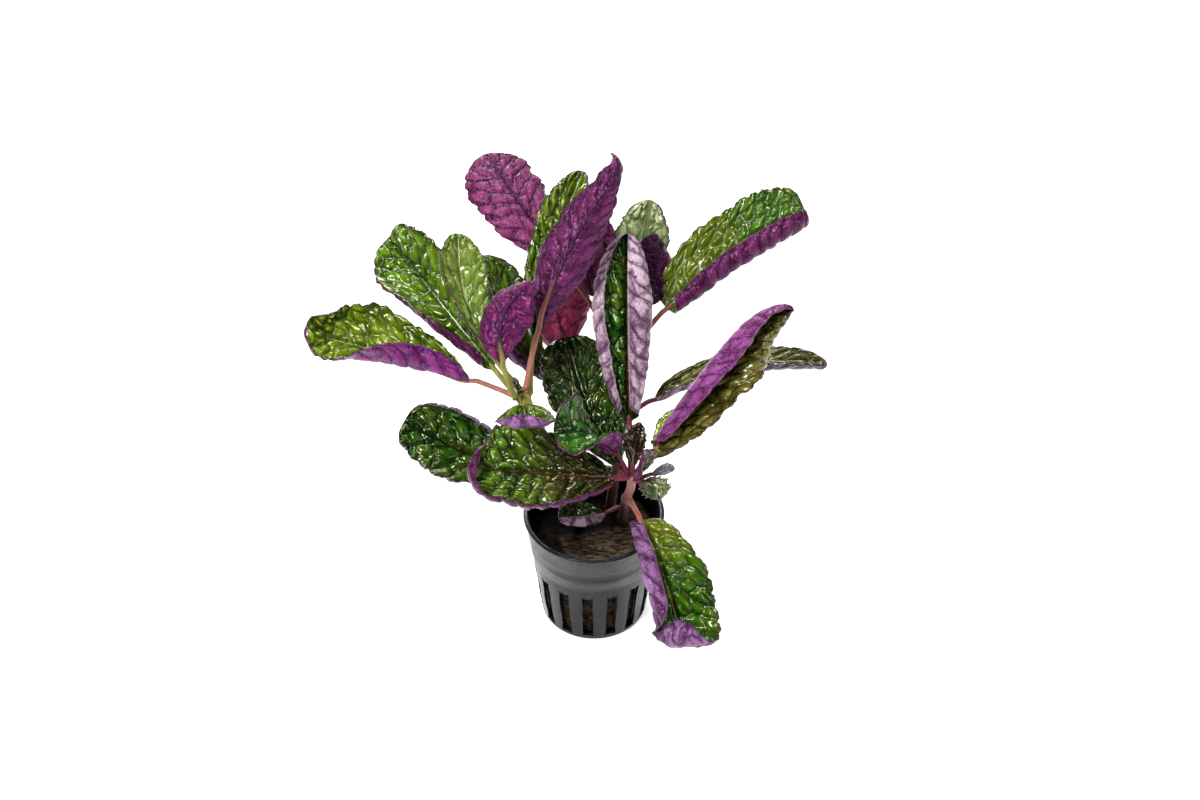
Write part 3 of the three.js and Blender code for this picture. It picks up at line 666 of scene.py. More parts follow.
class LeafShape:
    """The midrib and blade of one leaf, in millimetres."""

    steps = 240

    def __init__(self, leaf, seed):
        self.leaf = leaf
        self.seed = seed
        self.length = leaf.petiole + leaf.blade
        self.big = leaf.blade > BIG_BLADE
        self.boldness = leaf.relief or (1 if self.big else SMALL_BLADE_RELIEF)
        self.veins = round(leaf.blade / VEIN_PITCH)
        self.cells = max(2, round(leaf.width / 2 / leaf.blister_width))
        u = np.linspace(0, 1, self.steps + 1)
        middle = (u[:-1] + u[1:]) / 2
        steps = self.directions(middle)[0] * self.length / self.steps
        self.path = np.array(leaf.start, float) + np.vstack([np.zeros(3), np.cumsum(steps, 0)])

    def directions(self, u):
        """Directions along the midrib, across to the left and up, for shares of its length."""
        leaf = self.leaf
        t = (u * self.length - leaf.petiole) / leaf.blade
        bend = np.maximum(0, (t - leaf.hook_from) / (1 - leaf.hook_from)) ** 2
        rise = np.radians(leaf.rise + leaf.droop * u + leaf.hook * bend)
        heading = np.radians(leaf.heading + leaf.swing * u + leaf.veer * bend)
        roll = np.radians(leaf.turn + leaf.twist * np.maximum(0, t))[..., None]
        along = np.stack(
            [np.cos(rise) * np.cos(heading), np.cos(rise) * np.sin(heading), np.sin(rise)], -1)
        level = np.stack([-np.sin(heading), np.cos(heading), np.zeros_like(u)], -1)
        above = np.cross(along, level)
        left = level * np.cos(roll) + above * np.sin(roll)
        up = above * np.cos(roll) - level * np.sin(roll)
        return along, left, up

    def frames(self, t):
        """Position on the midrib, and the directions left and up, for blade positions t."""
        u = np.clip((self.leaf.petiole + t * self.leaf.blade) / self.length, 0, 1)
        step = u * self.steps
        low = np.minimum(step.astype(int), self.steps - 1)
        share = (step - low)[..., None]
        position = self.path[low] * (1 - share) + self.path[low + 1] * share
        _, left, up = self.directions(u)
        return position, left, up

    def outline(self, t):
        """Half the width along the blade, as a share of the widest."""
        leaf = self.leaf
        rising = np.sin(np.pi / 2 * np.clip(t / leaf.widest, 0, 1)) ** leaf.shoulder
        falling = np.sin(np.pi / 2 * np.clip((1 - t) / (1 - leaf.widest), 0, 1)) ** leaf.point
        return np.where(t < leaf.widest, rising, falling)

    def slope(self, side, t, v):
        """How steeply a half blade stands, for v from 0 at the midrib to 1 at the margin."""
        leaf = self.leaf
        base, tip = leaf.curl[side], (leaf.curl_tip or leaf.curl)[side]
        middle = leaf.curl_middle[side] if leaf.curl_middle else (base + tip) / 2
        curl = np.interp(t, [0, 0.5, 1], [base, middle, tip])
        start = leaf.curl_from[side]
        rolled = smoothstep(v, start, start + CURL_SPAN) * np.minimum(1, t / CURL_EASE)
        return np.radians(leaf.fold[side] * np.minimum(1, v / FOLD_EASE) + curl * rolled)

    def noise(self, side, step, x, y):
        """Smooth values from -1 to 1 over a half blade, other ones for each step of the seed."""
        return smooth_noise(x, y, self.seed * 10 + side + step)

    def strips(self, side, row, v):
        """The count of strips between side veins, from the base to each point."""
        warp = (0.3 * self.noise(side, 0, row * 9, v * 3)
                + 0.1 * self.noise(side, 3, row * 25, v * 9))
        return (row - VEIN_LEAD * v ** 1.3) * self.veins + SIDE_STAGGER * side + warp

    def relief(self, side, row, v, half):
        """Height of the blisters and puckers, and how far each point is from a valley."""
        strip = self.strips(side, row, v)
        across = v * self.cells + 0.16 * self.noise(side, 7, row * 20, v * 6)
        length = self.leaf.blade
        pitch, width = length / self.veins, self.leaf.width / 2 / self.cells
        gap, tall = blister_gaps(strip, across, pitch, width, self.seed * 10 + side)
        puffed = (1 - (1 - np.clip(gap / BLISTER_RISE, 0, 1)) ** 2) ** 0.7
        ribs = np.abs(np.sin(np.pi * strip))
        crown = tall * puffed * (0.4 + 0.6 * np.clip(ribs * 1.3, 0, 1) ** 0.8)
        fade = smoothstep(v * half, 0.1, 1.7) * (1 - 0.6 * smoothstep(v, 0.84, 1.0))
        fade = fade * smoothstep(row, 0, 0.07) * smoothstep(1 - row, 0, 0.04)
        pucker = sum(height * self.noise(side, step, row * length / pitch, v * half.max() / pitch)
                     for height, pitch, step in PUCKERS)
        return crown * fade, pucker * fade, gap

    def margin(self, side, row, v, settings):
        """Half the width at each point, with the teeth, scallops and wander of the margin."""
        leaf = self.leaf
        count = max(FEWEST_TEETH, round(leaf.blade * MM / settings.tooth_length))
        spread = row * count + 0.3 * self.noise(side, 2, row * 9, row * 0)
        tooth = np.abs(np.sin(np.pi * spread))
        tooth = (1 - tooth) * 1.3 if leaf.teeth else tooth ** 0.6
        bulge = np.abs(np.sin(np.pi * self.strips(side, row, v))) ** 0.6
        edge = (settings.scallop_depth * (bulge - 0.7)
                + (leaf.teeth or settings.tooth_depth) * (tooth - 0.65)
                + settings.wander * self.noise(side, 12, row * 6, row * 0))
        half = leaf.width / 2 * self.outline(row) * (1 + v ** 3 * edge)
        return np.maximum(half, PETIOLE_RADIUS * 0.8 * (1 - smoothstep(row, 0.9, 1.0)) + 0.12)

    def section(self, side, t, v, half):
        """How far each point is across from the midrib and above it, by the slopes up to it."""
        across = np.zeros_like(v)
        height = np.zeros_like(v)
        for k in range(SECTION_STEPS):
            slope = self.slope(side, t, v * (k + 0.5) / SECTION_STEPS)
            across += np.cos(slope) * v * half / SECTION_STEPS
            height += np.sin(slope) * v * half / SECTION_STEPS
        return across, height

    def waves(self, side, row, v):
        """How far the blade waves up and down, more towards the margin."""
        ruffle = v ** 2.5 * (0.7 * self.noise(side, 4, row * 7.5, v)
                             + 0.5 * self.noise(side, 6, row * 17, v))
        sway = 1.1 * v * self.noise(side, 8, row * 3.2, v * 0.8)
        return self.leaf.ruffle * (ruffle + sway) * np.sin(np.pi * row) ** 0.5

    def half_blade(self, side, hand, row, v, settings):
        """The upper and lower points of one half, and the values on them for the material."""
        t = np.minimum(1, row + VEIN_SLANT * v * np.sin(np.pi * row))
        position, left, up = self.frames(t)
        half = self.margin(side, row, v, settings)
        across, height = self.section(side, t, v, half)
        slope = self.slope(side, t, v)[..., None]
        square = up * np.cos(slope) - hand * left * np.sin(slope)
        crown, pucker, gap = self.relief(side, row, v, half)
        bold = self.boldness
        blister = settings.blister_height / MM * bold
        groove = MIDRIB_GROOVE * bell(v * half / GROOVE_WIDTH) * bold * (1 - row)
        lift = blister * (crown - VEIN_DEPTH) + pucker * bold + self.waves(side, row, v) - groove
        middle = position + left * (hand * across)[..., None] + up * height[..., None]
        middle = middle + square * lift[..., None]
        thick = settings.blade_thickness / MM / 2 * (1 - 0.6 * v ** 6)
        quilt = QUILT * blister * crown + pucker * bold
        return {
            "upper": above_floor(middle + square * thick[..., None]),
            "lower": above_floor(middle - square * (thick + quilt)[..., None]),
            "along": t,
            "across": v,
            "strip": self.strips(side, row, v),
            "gap": np.minimum(gap, 3),
            "crown": crown,
            "rib": bell(v * half / MIDRIB_WIDTH) * (1 - 0.5 * row),
        }

    def whole_blade(self, rows, columns, settings):
        """Both halves as one grid from the left margin to the right, with the values on it."""
        s = np.linspace(0, 1, rows)
        row = (0.62 * s + 0.38 * (0.5 - 0.5 * np.cos(np.pi * s)))[:, None]
        v = np.linspace(0, 1, columns + 1)[None, :] ** 1.12
        row, v = row * np.ones_like(v), v * np.ones_like(row)
        left, right = (self.half_blade(side, hand, row, v, settings)
                       for side, hand in ((0, 1), (1, -1)))
        return {key: np.concatenate([left[key][:, :0:-1], right[key]], axis=1) for key in left}


def leaf_mesh(leaf, seed, settings):
    """One leaf: a thin puckered blade over a petiole that runs on below it as the midrib."""
    shape = LeafShape(leaf, seed)
    rows, columns = (settings.rows, settings.columns) if shape.big else SMALL_BLADE_GRID
    grid = shape.whole_blade(rows, columns, settings)
    upper, lower = grid.pop("upper"), grid.pop("lower")
    rings = np.concatenate([upper, lower[:, ::-1]], axis=1)
    both = {key: np.concatenate([value, value[:, ::-1]], axis=1) for key, value in grid.items()}
    mesh = Mesh()
    mesh.skin(rings, top_side=np.repeat([1.0, 0.0], upper.shape[1]), stalk=0.0, **both)
    add_petiole(mesh, shape, settings.blister_height / MM)
    return mesh


def add_petiole(mesh, shape, blister_height):
    """The petiole, from inside the stem to the blade, and on below it as a tapering midrib."""
    leaf = shape.leaf
    base = -leaf.petiole / leaf.blade
    t = np.concatenate([np.linspace(base, 0, 14)[:-1], np.linspace(0, MIDRIB_END, 40)])
    centre, left, up = shape.frames(t)
    size = PETIOLE_RADIUS * (1 if shape.big else SMALL_PETIOLE)
    valley = (VEIN_DEPTH * blister_height + MIDRIB_GROOVE * (1 - t)) * shape.boldness
    taper = MIDRIB_TIP + (1 - MIDRIB_TIP) * np.clip(1 - t, 0, 1) ** 1.3
    foot = 1 + FOOT_SWELLING * bell((t - base) * leaf.blade / FOOT_LENGTH)
    radius = size * np.where(t < 0, 1, taper) * foot
    sunk = smoothstep(t, -0.05, 0.06) * (radius * 0.8 + valley)
    centre = centre - up * sunk[:, None]
    inside = centre[0] + (nearest_on_stems(centre[0]) - centre[0]) * JOINT_DEPTH
    centre = np.vstack([inside, centre])
    left, up, radius, t = (np.concatenate([each[:1], each]) for each in (left, up, radius, t))
    radius[0] *= 1.1
    angle = turns(PETIOLE_SIDES)
    flat = 1 - 0.22 * np.maximum(0, np.sin(angle)) ** 2
    wide = radius[:, None] * np.cos(angle)
    deep = radius[:, None] * np.sin(angle) * flat
    stalk = 1 - smoothstep(t, -0.02, 0.3)
    mesh.skin(above_floor(tube(centre, left, up, wide, deep)), top_side=0.0, stalk=stalk[:, None],
              along=t[:, None], across=0.0, strip=0.0, gap=0.0, crown=0.0, rib=1.0)


def nearest_on_stems(point):
    """The nearest point of the stems' centre lines."""
    lines = np.vstack([stem_line(stem["points"], 80) for stem in STEMS])
    return lines[np.argmin(np.linalg.norm(lines - point, axis=1))]


def stem_line(points, count):
    """Even steps along a smooth curve through the points, rounded so that it never loops."""
    p = np.array(points, float)
    p = np.vstack([2 * p[0] - p[1], p, 2 * p[-1] - p[-2]])
    dense = []
    for i in range(1, len(p) - 2):
        before, start, end, after = p[i - 1:i + 3]
        d0, d1, d2 = [max(1e-4, np.linalg.norm(b - a)) ** 0.5
                      for a, b in ((before, start), (start, end), (end, after))]
        m1 = (start - before) / d0 - (end - before) / (d0 + d1) + (end - start) / d1
        m2 = (end - start) / d1 - (after - start) / (d1 + d2) + (after - end) / d2
        s = np.linspace(0, 1, 41)[:, None]
        c2 = -3 * start + 3 * end - (2 * m1 + m2) * d1
        c3 = 2 * start - 2 * end + (m1 + m2) * d1
        dense.append(start + m1 * d1 * s + c2 * s ** 2 + c3 * s ** 3)
    dense = np.vstack(dense)
    steps = np.linalg.norm(np.diff(dense, axis=0), axis=1)
    reach = np.concatenate([[0], np.cumsum(steps)])
    even = np.linspace(0, reach[-1], count)
    return np.stack([np.interp(even, reach, dense[:, k]) for k in range(3)], -1)


def stem_mesh(stem, seed):
    """A round stem, swollen at its nodes, with faint grooves along it and an uneven skin."""
    line = stem_line(stem["points"], STEM_RINGS)
    side, front = across_line(line, [0.0, 1.0, 0.0])
    u = np.linspace(0, 1, STEM_RINGS)[:, None]
    swelling = np.max([bell((u - node) / NODE_LENGTH) for node in stem["nodes"]], axis=0)
    radius = STEM_RADIUS * (1.08 - 0.16 * u + NODE_SWELLING * swelling)
    radius = radius * np.where(u > 0.985, 0.75, 1)
    angle = turns(STEM_SIDES)
    grooves = 1 + 0.035 * np.cos(angle * 4 + 1)
    spread = radius * (grooves + 0.03 * smooth_noise(u * 60, angle * 2, seed))
    mesh = Mesh()
    rings = tube(line, side, front, np.cos(angle) * spread, np.sin(angle) * spread)
    mesh.skin(rings, along=u, node=swelling)
    return mesh


def pot_radius(z):
    """Outer radius of the pot's wall below the rim, at a height."""
    share = (z - 0.8) / (BAND_HEIGHT - 0.8)
    return BASE_RADIUS + (BAND_RADIUS - BASE_RADIUS) * share


def pot_profile(settings):
    """The pot's outline as radii and heights, and where its slots begin outside and inside."""
    wall = settings.wall / MM
    rim = settings.rim_radius / MM
    top = settings.height / MM
    foot = [(BASE_RADIUS - 0.9, 0.0), (BASE_RADIUS - 0.35, 0.12), (BASE_RADIUS - 0.08, 0.45),
            (pot_radius(0.9), 0.9)]
    outside = [(pot_radius(z), z) for z in (*SLOT_LEVELS, WALL_MIDDLE, STEP_HEIGHT - 0.3)]
    band = [(pot_radius(z) + STEP_DEPTH, z) for z in (STEP_HEIGHT, BAND_MIDDLE)]
    flare = [(pot_radius(BAND_HEIGHT), BAND_HEIGHT), (BAND_RADIUS + 0.3, BAND_HEIGHT + 0.35),
             (rim - 1.1, top - 2.4), (rim - 0.55, top - 1.3), (rim - 0.1, top - 1.05)]
    lip = [(rim, top - 0.75), (rim, top - 0.3), (rim - 0.25, top - 0.02), (rim - 1.5, top),
           (rim - 1.75, top - 0.25), (rim - 2.1, top - 1.4), (BAND_RADIUS - wall, BAND_HEIGHT - 0.9)]
    upper_inside = [(pot_radius(z) - wall, z) for z in (BAND_MIDDLE, WALL_MIDDLE)]
    inside = [(pot_radius(z) - wall, z) for z in reversed(SLOT_LEVELS)]
    floor = [(BASE_RADIUS - wall - 0.35, POT_FLOOR), (BASE_RADIUS - wall - 4, POT_FLOOR),
             (DRAIN_RADIUS, POT_FLOOR), (DRAIN_RADIUS, 0.0), (BASE_RADIUS - 5, 0.0)]
    above_slots = foot + outside + band + flare + lip + upper_inside
    return above_slots + inside + floor, len(foot), len(above_slots)


def pot_mesh(settings):
    """The pot: a thin slotted wall, a flat floor with one drain hole, and a flaring rim."""
    profile, first, inner_last = pot_profile(settings)
    last = first + len(SLOT_LEVELS) - 1
    inner_first = inner_last + len(SLOT_LEVELS) - 1
    sector = 2 * np.pi / SLOT_COUNT
    pitch = SLOT_COLUMNS + RIB_COLUMNS
    rows, around = len(profile), SLOT_COUNT * pitch

    def angles(radius):
        half = math.asin(SLOT_WIDTH / 2 / radius)
        slot = np.linspace(-half, half, SLOT_COLUMNS + 1)
        rib = np.linspace(half, sector - half, RIB_COLUMNS + 1)[1:-1]
        starts = math.radians(FIRST_SLOT) + sector * np.arange(SLOT_COUNT)
        return (starts[:, None] + np.concatenate([slot, rib])).ravel()

    def is_slot(row, column):
        in_slot = column % pitch < SLOT_COLUMNS
        return in_slot and (first <= row < last or inner_last <= row < inner_first)

    quads = []

    def quad(at_rows, at_columns):
        quads.append([row * around + column for row, column in zip(at_rows, at_columns)])

    for row in range(rows):
        for column in range(around):
            if not is_slot(row, column):
                below = (row + 1) % rows
                beside = (column + 1) % around
                quad((row, row, below, below), (column, beside, beside, column))
    for left in range(0, around, pitch):
        right = left + SLOT_COLUMNS
        for step in range(len(SLOT_LEVELS) - 1):
            outer, inner = first + step, inner_first - step
            quad((outer, outer + 1, inner - 1, inner), [left] * 4)
            quad((outer + 1, outer, inner, inner - 1), [right] * 4)
        for column in range(left, right):
            beside = column + 1
            quad((first, inner_first, inner_first, first), (column, column, beside, beside))
            quad((last, inner_last, inner_last, last), (beside, beside, column, column))
    narrowest = BASE_RADIUS - settings.wall / MM - 0.4
    points = [about_axis(angles(max(radius, narrowest)), radius, z) for radius, z in profile]
    mesh = Mesh()
    mesh.add(np.concatenate(points), [quads])
    return mesh


def plug_radius(z):
    """Inner radius of the pot less the gap that the plug leaves."""
    return pot_radius(np.minimum(z, PLUG_TOP)) - WALL - PLUG_GAP


def plug_top(x, y):
    """Height of the plug's uneven top: a torn slab stands a little proud over the front."""
    slab = smoothstep(x + 0.35 * y, -15.5, -14.2) * smoothstep(-y + 0.2 * x, -1, 3)
    lumps = (0.5 * smooth_noise(x / 4.5 + 20, y / 4.5 + 20, 41)
             + 0.3 * smooth_noise(x / 1.7 + 9, y / 1.7 + 9, 42))
    chunk = 1.6 * bell((x - 19) / 3.2) * bell((y - 2) / 5)
    return PLUG_TOP - 0.9 + 0.9 * slab + lumps + chunk


def slab_share(x, y):
    """1 where the lighter slab shows on top of the plug; towards 0 the top is painted dark, as shade.
    """
    slab = smoothstep(x + 0.35 * y, -16, -13) * smoothstep(-y + 0.2 * x, -2, 4)
    chunk = smoothstep(x, 10, 14) * smoothstep(y, -2, 3)
    return np.maximum(slab, chunk)


def plug_mesh():
    """The rockwool plug: a worn side wall and an uneven top, closed, with fibres on both."""
    angle = turns(PLUG_SIDES)[None, :]
    z = np.linspace(PLUG_BOTTOM, PLUG_TOP - 0.6, SIDE_RINGS)[:, None]
    worn = (0.9 * np.abs(smooth_noise(angle * 7, z / 6 + 5, 31))
            + 0.5 * smooth_noise(angle * 20, z / 2.5 + 8, 32)
            + 0.35 * smooth_noise(angle * 44, z / 0.9 + 3, 33))
    worn = (0.5 + worn) * smoothstep(PLUG_TOP - z, 0.5, 8) + 0.15
    radius = plug_radius(z) - np.maximum(worn, 0)
    side = about_axis(angle, radius, z)
    share = np.linspace(0.985, 0.03, TOP_RINGS)[:, None]
    x, y = np.cos(angle) * radius[-1] * share, np.sin(angle) * radius[-1] * share
    rounded = 0.7 * smoothstep(share, 0.9, 1.0)
    top = np.stack([x, y, plug_top(x, y) - rounded], -1)
    # How pale each point is painted: less on the side and away from the slab, as painted shade.
    light = np.concatenate([np.full(radius.shape, SIDE_LIGHT), slab_share(x, y)])
    mesh = Mesh()
    mesh.skin(np.concatenate([side, top]), slab=light)
    add_fibres(mesh)
    return mesh


def add_fibres(mesh):
    """Fine curved fibres lying on the top of the plug, and on its side where the slots show it."""
    random = np.random.RandomState(7)
    s = np.linspace(0, 1, 9)
    for k in range(TOP_FIBRES + SIDE_FIBRES):
        on_top = k < TOP_FIBRES
        if on_top:
            start = plug_radius(PLUG_TOP) * math.sqrt(random.uniform(0.02, 0.93))
            turn = random.uniform(0, 2 * math.pi)
            sweep = random.uniform(0.15, 0.5) * (1 if random.rand() < 0.8 else -1)
            drift = random.uniform(-2.5, 2.5)
            radius = np.clip(start + drift * s, 1, plug_radius(PLUG_TOP) - 0.5)
            angle = turn + sweep * s * 8 / max(start, 6)
            x, y = np.cos(angle) * radius, np.sin(angle) * radius
            z = plug_top(x, y) + 0.05 + 0.35 * random.rand() * np.sin(np.pi * s)
            line = np.stack([x, y, z], -1)
            # Fibres take the paleness of the plug under them, so they carry its painted shade too.
            shown = slab_share(x, y)[:, None]
        else:
            level = random.uniform(3, 24)
            slot = random.randint(SLOT_COUNT)
            turn = math.radians(FIRST_SLOT) + 2 * math.pi / SLOT_COUNT * slot
            turn += random.uniform(-0.09, 0.09)
            z = np.maximum(level + random.uniform(-4, 4) * s, PLUG_BOTTOM + 0.3)
            angle = turn + random.uniform(-0.12, 0.12) * s + 0.02 * np.sin(7 * s)
            line = about_axis(angle, plug_radius(z) - 0.35 + 0.2 * np.sin(np.pi * s), z)
            shown = SIDE_LIGHT
        thick = random.uniform(*FIBRE_RADIUS)
        add_thread(mesh, line, thick, random.uniform(0.3, 1.3) * shown)


def add_thread(mesh, line, thick, light):
    """A thin three-sided thread along a line."""
    side, above = across_line(line, [0.3, 0.2, 1.0])
    angle = np.radians([90, 210, 330])
    size = thick * np.sin(np.linspace(0.25, np.pi - 0.25, len(line)))[:, None]
    mesh.skin(tube(line, side, above, size * np.cos(angle), size * np.sin(angle)), slab=light)


def bud_mesh():
    """The bud: three whorls of tiny scale leaves round a short axis."""
    mesh = Mesh()
    axis = BUD_TIP - BUD_FOOT
    line = BUD_FOOT + axis * np.linspace(0, 1, 12)[:, None]
    add_scale(mesh, line, 0.55, 0.55, [1.0, 0.0, 0.0])
    s = np.linspace(0, 1, 9)[:, None]
    for level, size in ((0.35, 1.35), (0.6, 1.25), (0.82, 1.0)):
        for k in range(3):
            turn = 2 * math.pi * k / 3 + level * 5
            out = np.array([math.cos(turn), math.sin(turn), 0.0])
            foot = BUD_FOOT + axis * (level - 0.22)
            tip = foot + axis * 0.42 * size / 1.35 + out * 0.75 * size
            bend = foot + axis * 0.12 + out * 0.75 * size
            line = foot * (1 - s) ** 2 + 2 * bend * s * (1 - s) + tip * s ** 2
            add_scale(mesh, line, 0.75 * size, 0.25, out)
    return mesh


def add_scale(mesh, line, width, thick, out):
    """One tiny scale leaf along a line, widest in the middle, with its flat side towards out."""
    side, face = across_line(line, out)
    angle = turns(12)
    swell = np.sin(np.linspace(0.5, np.pi - 0.12, len(line)))[:, None]
    rings = tube(line, side, face, width * swell * np.cos(angle), thick * swell * np.sin(angle))
    mesh.skin(rings, along=np.linspace(0, 1, len(line))[:, None])


def leaf_fields(shader):
    """The values on the mesh and the noises that both sides of a leaf are coloured by."""
    at = SimpleNamespace()
    for name in ("along", "across", "crown", "rib", "top_side", "stalk"):
        setattr(at, name, shader.value(name))
    position = shader.position()
    at.cloud = shader.noise(position, 110.0)
    at.blotch = shader.noise(position, 420.0, 4.0, 0.6)
    at.wrinkle = shader.noise(position, 900.0, 3.0, 0.6)
    at.grain = shader.noise(position, 2600.0, 2.0)
    wander = shader.noise(position, 300.0, 2.0, 0.5, output="Color")
    wander = shader.vectors("SCALE", wander, 0.0016, "Scale")
    warped = shader.vectors("ADD", position, wander)
    edges = shader.node("ShaderNodeTexVoronoi", {"feature": "DISTANCE_TO_EDGE"},
                        {"Vector": warped, "Scale": 460.0})
    at.net = 1 - edges.rise(0.0, 0.11)
    at.side_vein = 1 - (shader.value("strip") + (at.blotch - 0.5) * 0.1).wave().rise(0.02, 0.26)
    at.valley = 1 - (shader.value("gap") + (at.blotch - 0.5) * 0.6).rise(0.0, 0.7)
    at.margin = at.across.rise(0.94, 1.0)
    return at


def upper_colour(shader, at, top):
    """The upper side: painted light on the crowns and painted shade in the valleys, brown blotches,
    veins and a dark margin.
    """
    # The crowns are painted lighter and the valleys darker, as light and shade, with random cloudy
    # tone mixed in.
    lit = (at.crown * 0.95 + (at.cloud - 0.5) * 1.1 + (at.blotch - 0.5) * 0.9).rise(0.0, 0.95)
    colour = shader.mix(lit, top.valley, top.crown)
    if top.blush:
        spread = 1 - at.along.rise(top.blush_to - 0.35, top.blush_to)
        colour = shader.mix(spread * (at.cloud + 0.35), colour, top.blush)
    mottle = at.cloud.rise(0.5, 0.72) * at.blotch.rise(0.35, 0.65) * top.mottled
    colour = shader.mix(mottle, colour, MOTTLING)
    near_rib = 1 - at.across.rise(0.25, 0.95)
    veins = at.side_vein * (0.35 + near_rib * 0.65) + at.valley * near_rib * 0.5
    colour = shader.mix(veins * at.cloud.rise(0.3, 0.65) * top.veined, colour, top.vein)
    midrib = at.rib.rise(0.3, 0.95) * (1 - at.along.rise(0.6, 1.0)) * at.blotch.rise(0.38, 0.62)
    colour = shader.mix(midrib, colour, top.rib)
    return shader.mix(at.margin * 0.75, colour, MARGIN)


def lower_colour(shader, at, under, stalk):
    """The underside with its veins and midrib, and the petiole."""
    shade, light, vein = under
    glow = (at.cloud - 0.5) * 1.4 + (at.blotch - 0.5) * 1.1 + (at.wrinkle - 0.5) * 0.7
    colour = shader.mix((glow + at.crown * 0.9).rise(0.0, 0.9), shade, light)
    veins = at.side_vein * 0.6 + at.valley * 0.18 + at.net * 0.15
    colour = shader.mix(veins, colour, vein)
    colour = shader.mix(at.rib.rise(0.3, 0.9) * 0.7, colour, vein)
    colour = shader.mix(at.margin * 0.4, colour, light)
    petiole = shader.mix((at.blotch - 0.3) * 0.7, stalk, STALK_FLECKS)
    return shader.mix(at.stalk, colour, petiole)


def leaf_material(top, under, stalk):
    """Two-sided leaf skin: glossy green above, satin purple below, and the petiole."""
    name = f"leaf_{top}_{under}_{stalk}"
    if name in bpy.data.materials:
        return bpy.data.materials[name]
    shader = Shader(name)
    at = leaf_fields(shader)
    glossy = shader.surface(
        Base_Color=upper_colour(shader, at, TOPS[top]),
        Roughness=0.2 + (at.blotch - 0.5) * 0.16,
        Coat_Weight=0.5,
        Coat_Roughness=0.14,
        Coat_IOR=1.6,
        Specular_IOR_Level=0.5,
        Specular_Tint=linear(UPPER_GLEAM),
        Normal=shader.bump(at.grain * 0.4 + at.blotch * 0.8 - at.net * 0.4, 0.00014),
    )
    rough = at.blotch + at.wrinkle * 0.5 - at.net * 0.3 - at.side_vein * 0.6
    satin = shader.surface(
        Base_Color=lower_colour(shader, at, UNDERS[under], STALKS[stalk]),
        Roughness=0.27 + (at.blotch - 0.5) * 0.2,
        Specular_IOR_Level=0.5,
        Specular_Tint=linear(LOWER_GLEAM),
        Sheen_Weight=0.15,
        Sheen_Roughness=0.4,
        Sheen_Tint=linear(LOWER_SHEEN),
        Normal=shader.bump(rough, 0.0004),
    )
    return shader.finish(shader.blend(at.top_side.rise(0.35, 0.65), satin, glossy))


def stem_material(name, colours):
    """Stem skin: dark at the foot, flushed above, with fine streaks and paler nodes."""
    foot, middle, head = colours
    shader = Shader(name)
    position = shader.position()
    streak = shader.noise(position, 700.0, 3.0, 0.6, (1, 1, 0.12))
    fleck = shader.noise(position, 1800.0, 2.0)
    along = shader.value("along")
    base = shader.mix(along.rise(0.05, 0.55), foot, middle)
    base = shader.mix(along.rise(0.6, 1.0), base, head)
    base = shader.mix((streak - 0.45) * 1.2, base, STEM_STREAKS)
    base = shader.mix(shader.value("node") * 0.35, base, STEM_NODES)
    return shader.finish(shader.surface(
        Base_Color=base,
        Roughness=0.42 + (fleck - 0.5) * 0.2,
        Specular_IOR_Level=0.3,
        Sheen_Weight=0.5,
        Sheen_Roughness=0.35,
        Normal=shader.bump(streak + fleck * 0.4, 0.00012),
    ))


def pot_material():
    """Moulded dark grey plastic: faint vertical flow marks, cloudy patches of tone and gloss, and
    dust.
    """
    shader = Shader("pot_plastic")
    position = shader.position()
    flow = shader.noise(position, 260.0, 3.0, 0.5, (1, 1, 0.08))
    cloud = shader.noise(position, 70.0, 4.0, 0.6)
    speck = shader.noise(position, 1500.0, 3.0, 0.6)
    dust = (speck * cloud).rise(0.3, 0.46)
    base = shader.mix(cloud.rise(0.35, 0.7), *POT_COLOURS)
    base = shader.mix((flow - 0.45) * 0.8, base, POT_FLOW)
    base = shader.mix(dust * 0.25, base, POT_DUST)
    return shader.finish(shader.surface(
        Base_Color=base,
        Roughness=0.28 + (cloud - 0.5) * 0.4 + dust * 0.25,
        Specular_IOR_Level=0.18,
        Normal=shader.bump(flow * 0.8 + cloud + speck * 0.15, 0.0002),
    ))


def rockwool_material():
    """Brown-grey mineral wool: painted shade, near-black, in the hollows and away from the slab, with
    paler fibre on top of the torn slab.
    """
    shader = Shader("rockwool")
    position = shader.position()
    lumps = shader.noise(position, 240.0, 4.0, 0.65)
    strands = shader.noise(position, 900.0, 4.0, 0.7, (0.3, 1, 1))
    fine = shader.noise(position, 3000.0, 2.0, 0.6)
    # dark is the painted shade; pale is the wool's own fibre colour.
    dark = shader.mix(lumps.rise(0.3, 0.8), *SHADED_ROCKWOOL)
    pale = shader.mix(strands.rise(0.35, 0.7), *PALE_ROCKWOOL)
    base = shader.mix((shader.value("slab") * (0.3 + lumps)).rise(0.1, 1.0), dark, pale)
    base = shader.mix((fine - 0.55) * 0.8, base, ROCKWOOL_GRAIN)
    return shader.finish(shader.surface(
        Base_Color=base,
        Roughness=0.92,
        Specular_IOR_Level=0.1,
        Normal=shader.bump(lumps + strands * 0.8 + fine * 0.3, 0.0006),
    ))


def bud_material():
    """Small dry dark scales with paler tips."""
    shader = Shader("bud_scales")
    fleck = shader.noise(shader.position(), 1400.0)
    base = shader.mix(shader.value("along").rise(0.3, 1.0), *BUD_COLOURS)
    base = shader.mix((fleck - 0.4) * 1.2, base, BUD_FLECKS)
    surface = shader.surface(Base_Color=base, Roughness=0.6, Normal=shader.bump(fleck, 0.0001))
    return shader.finish(surface)


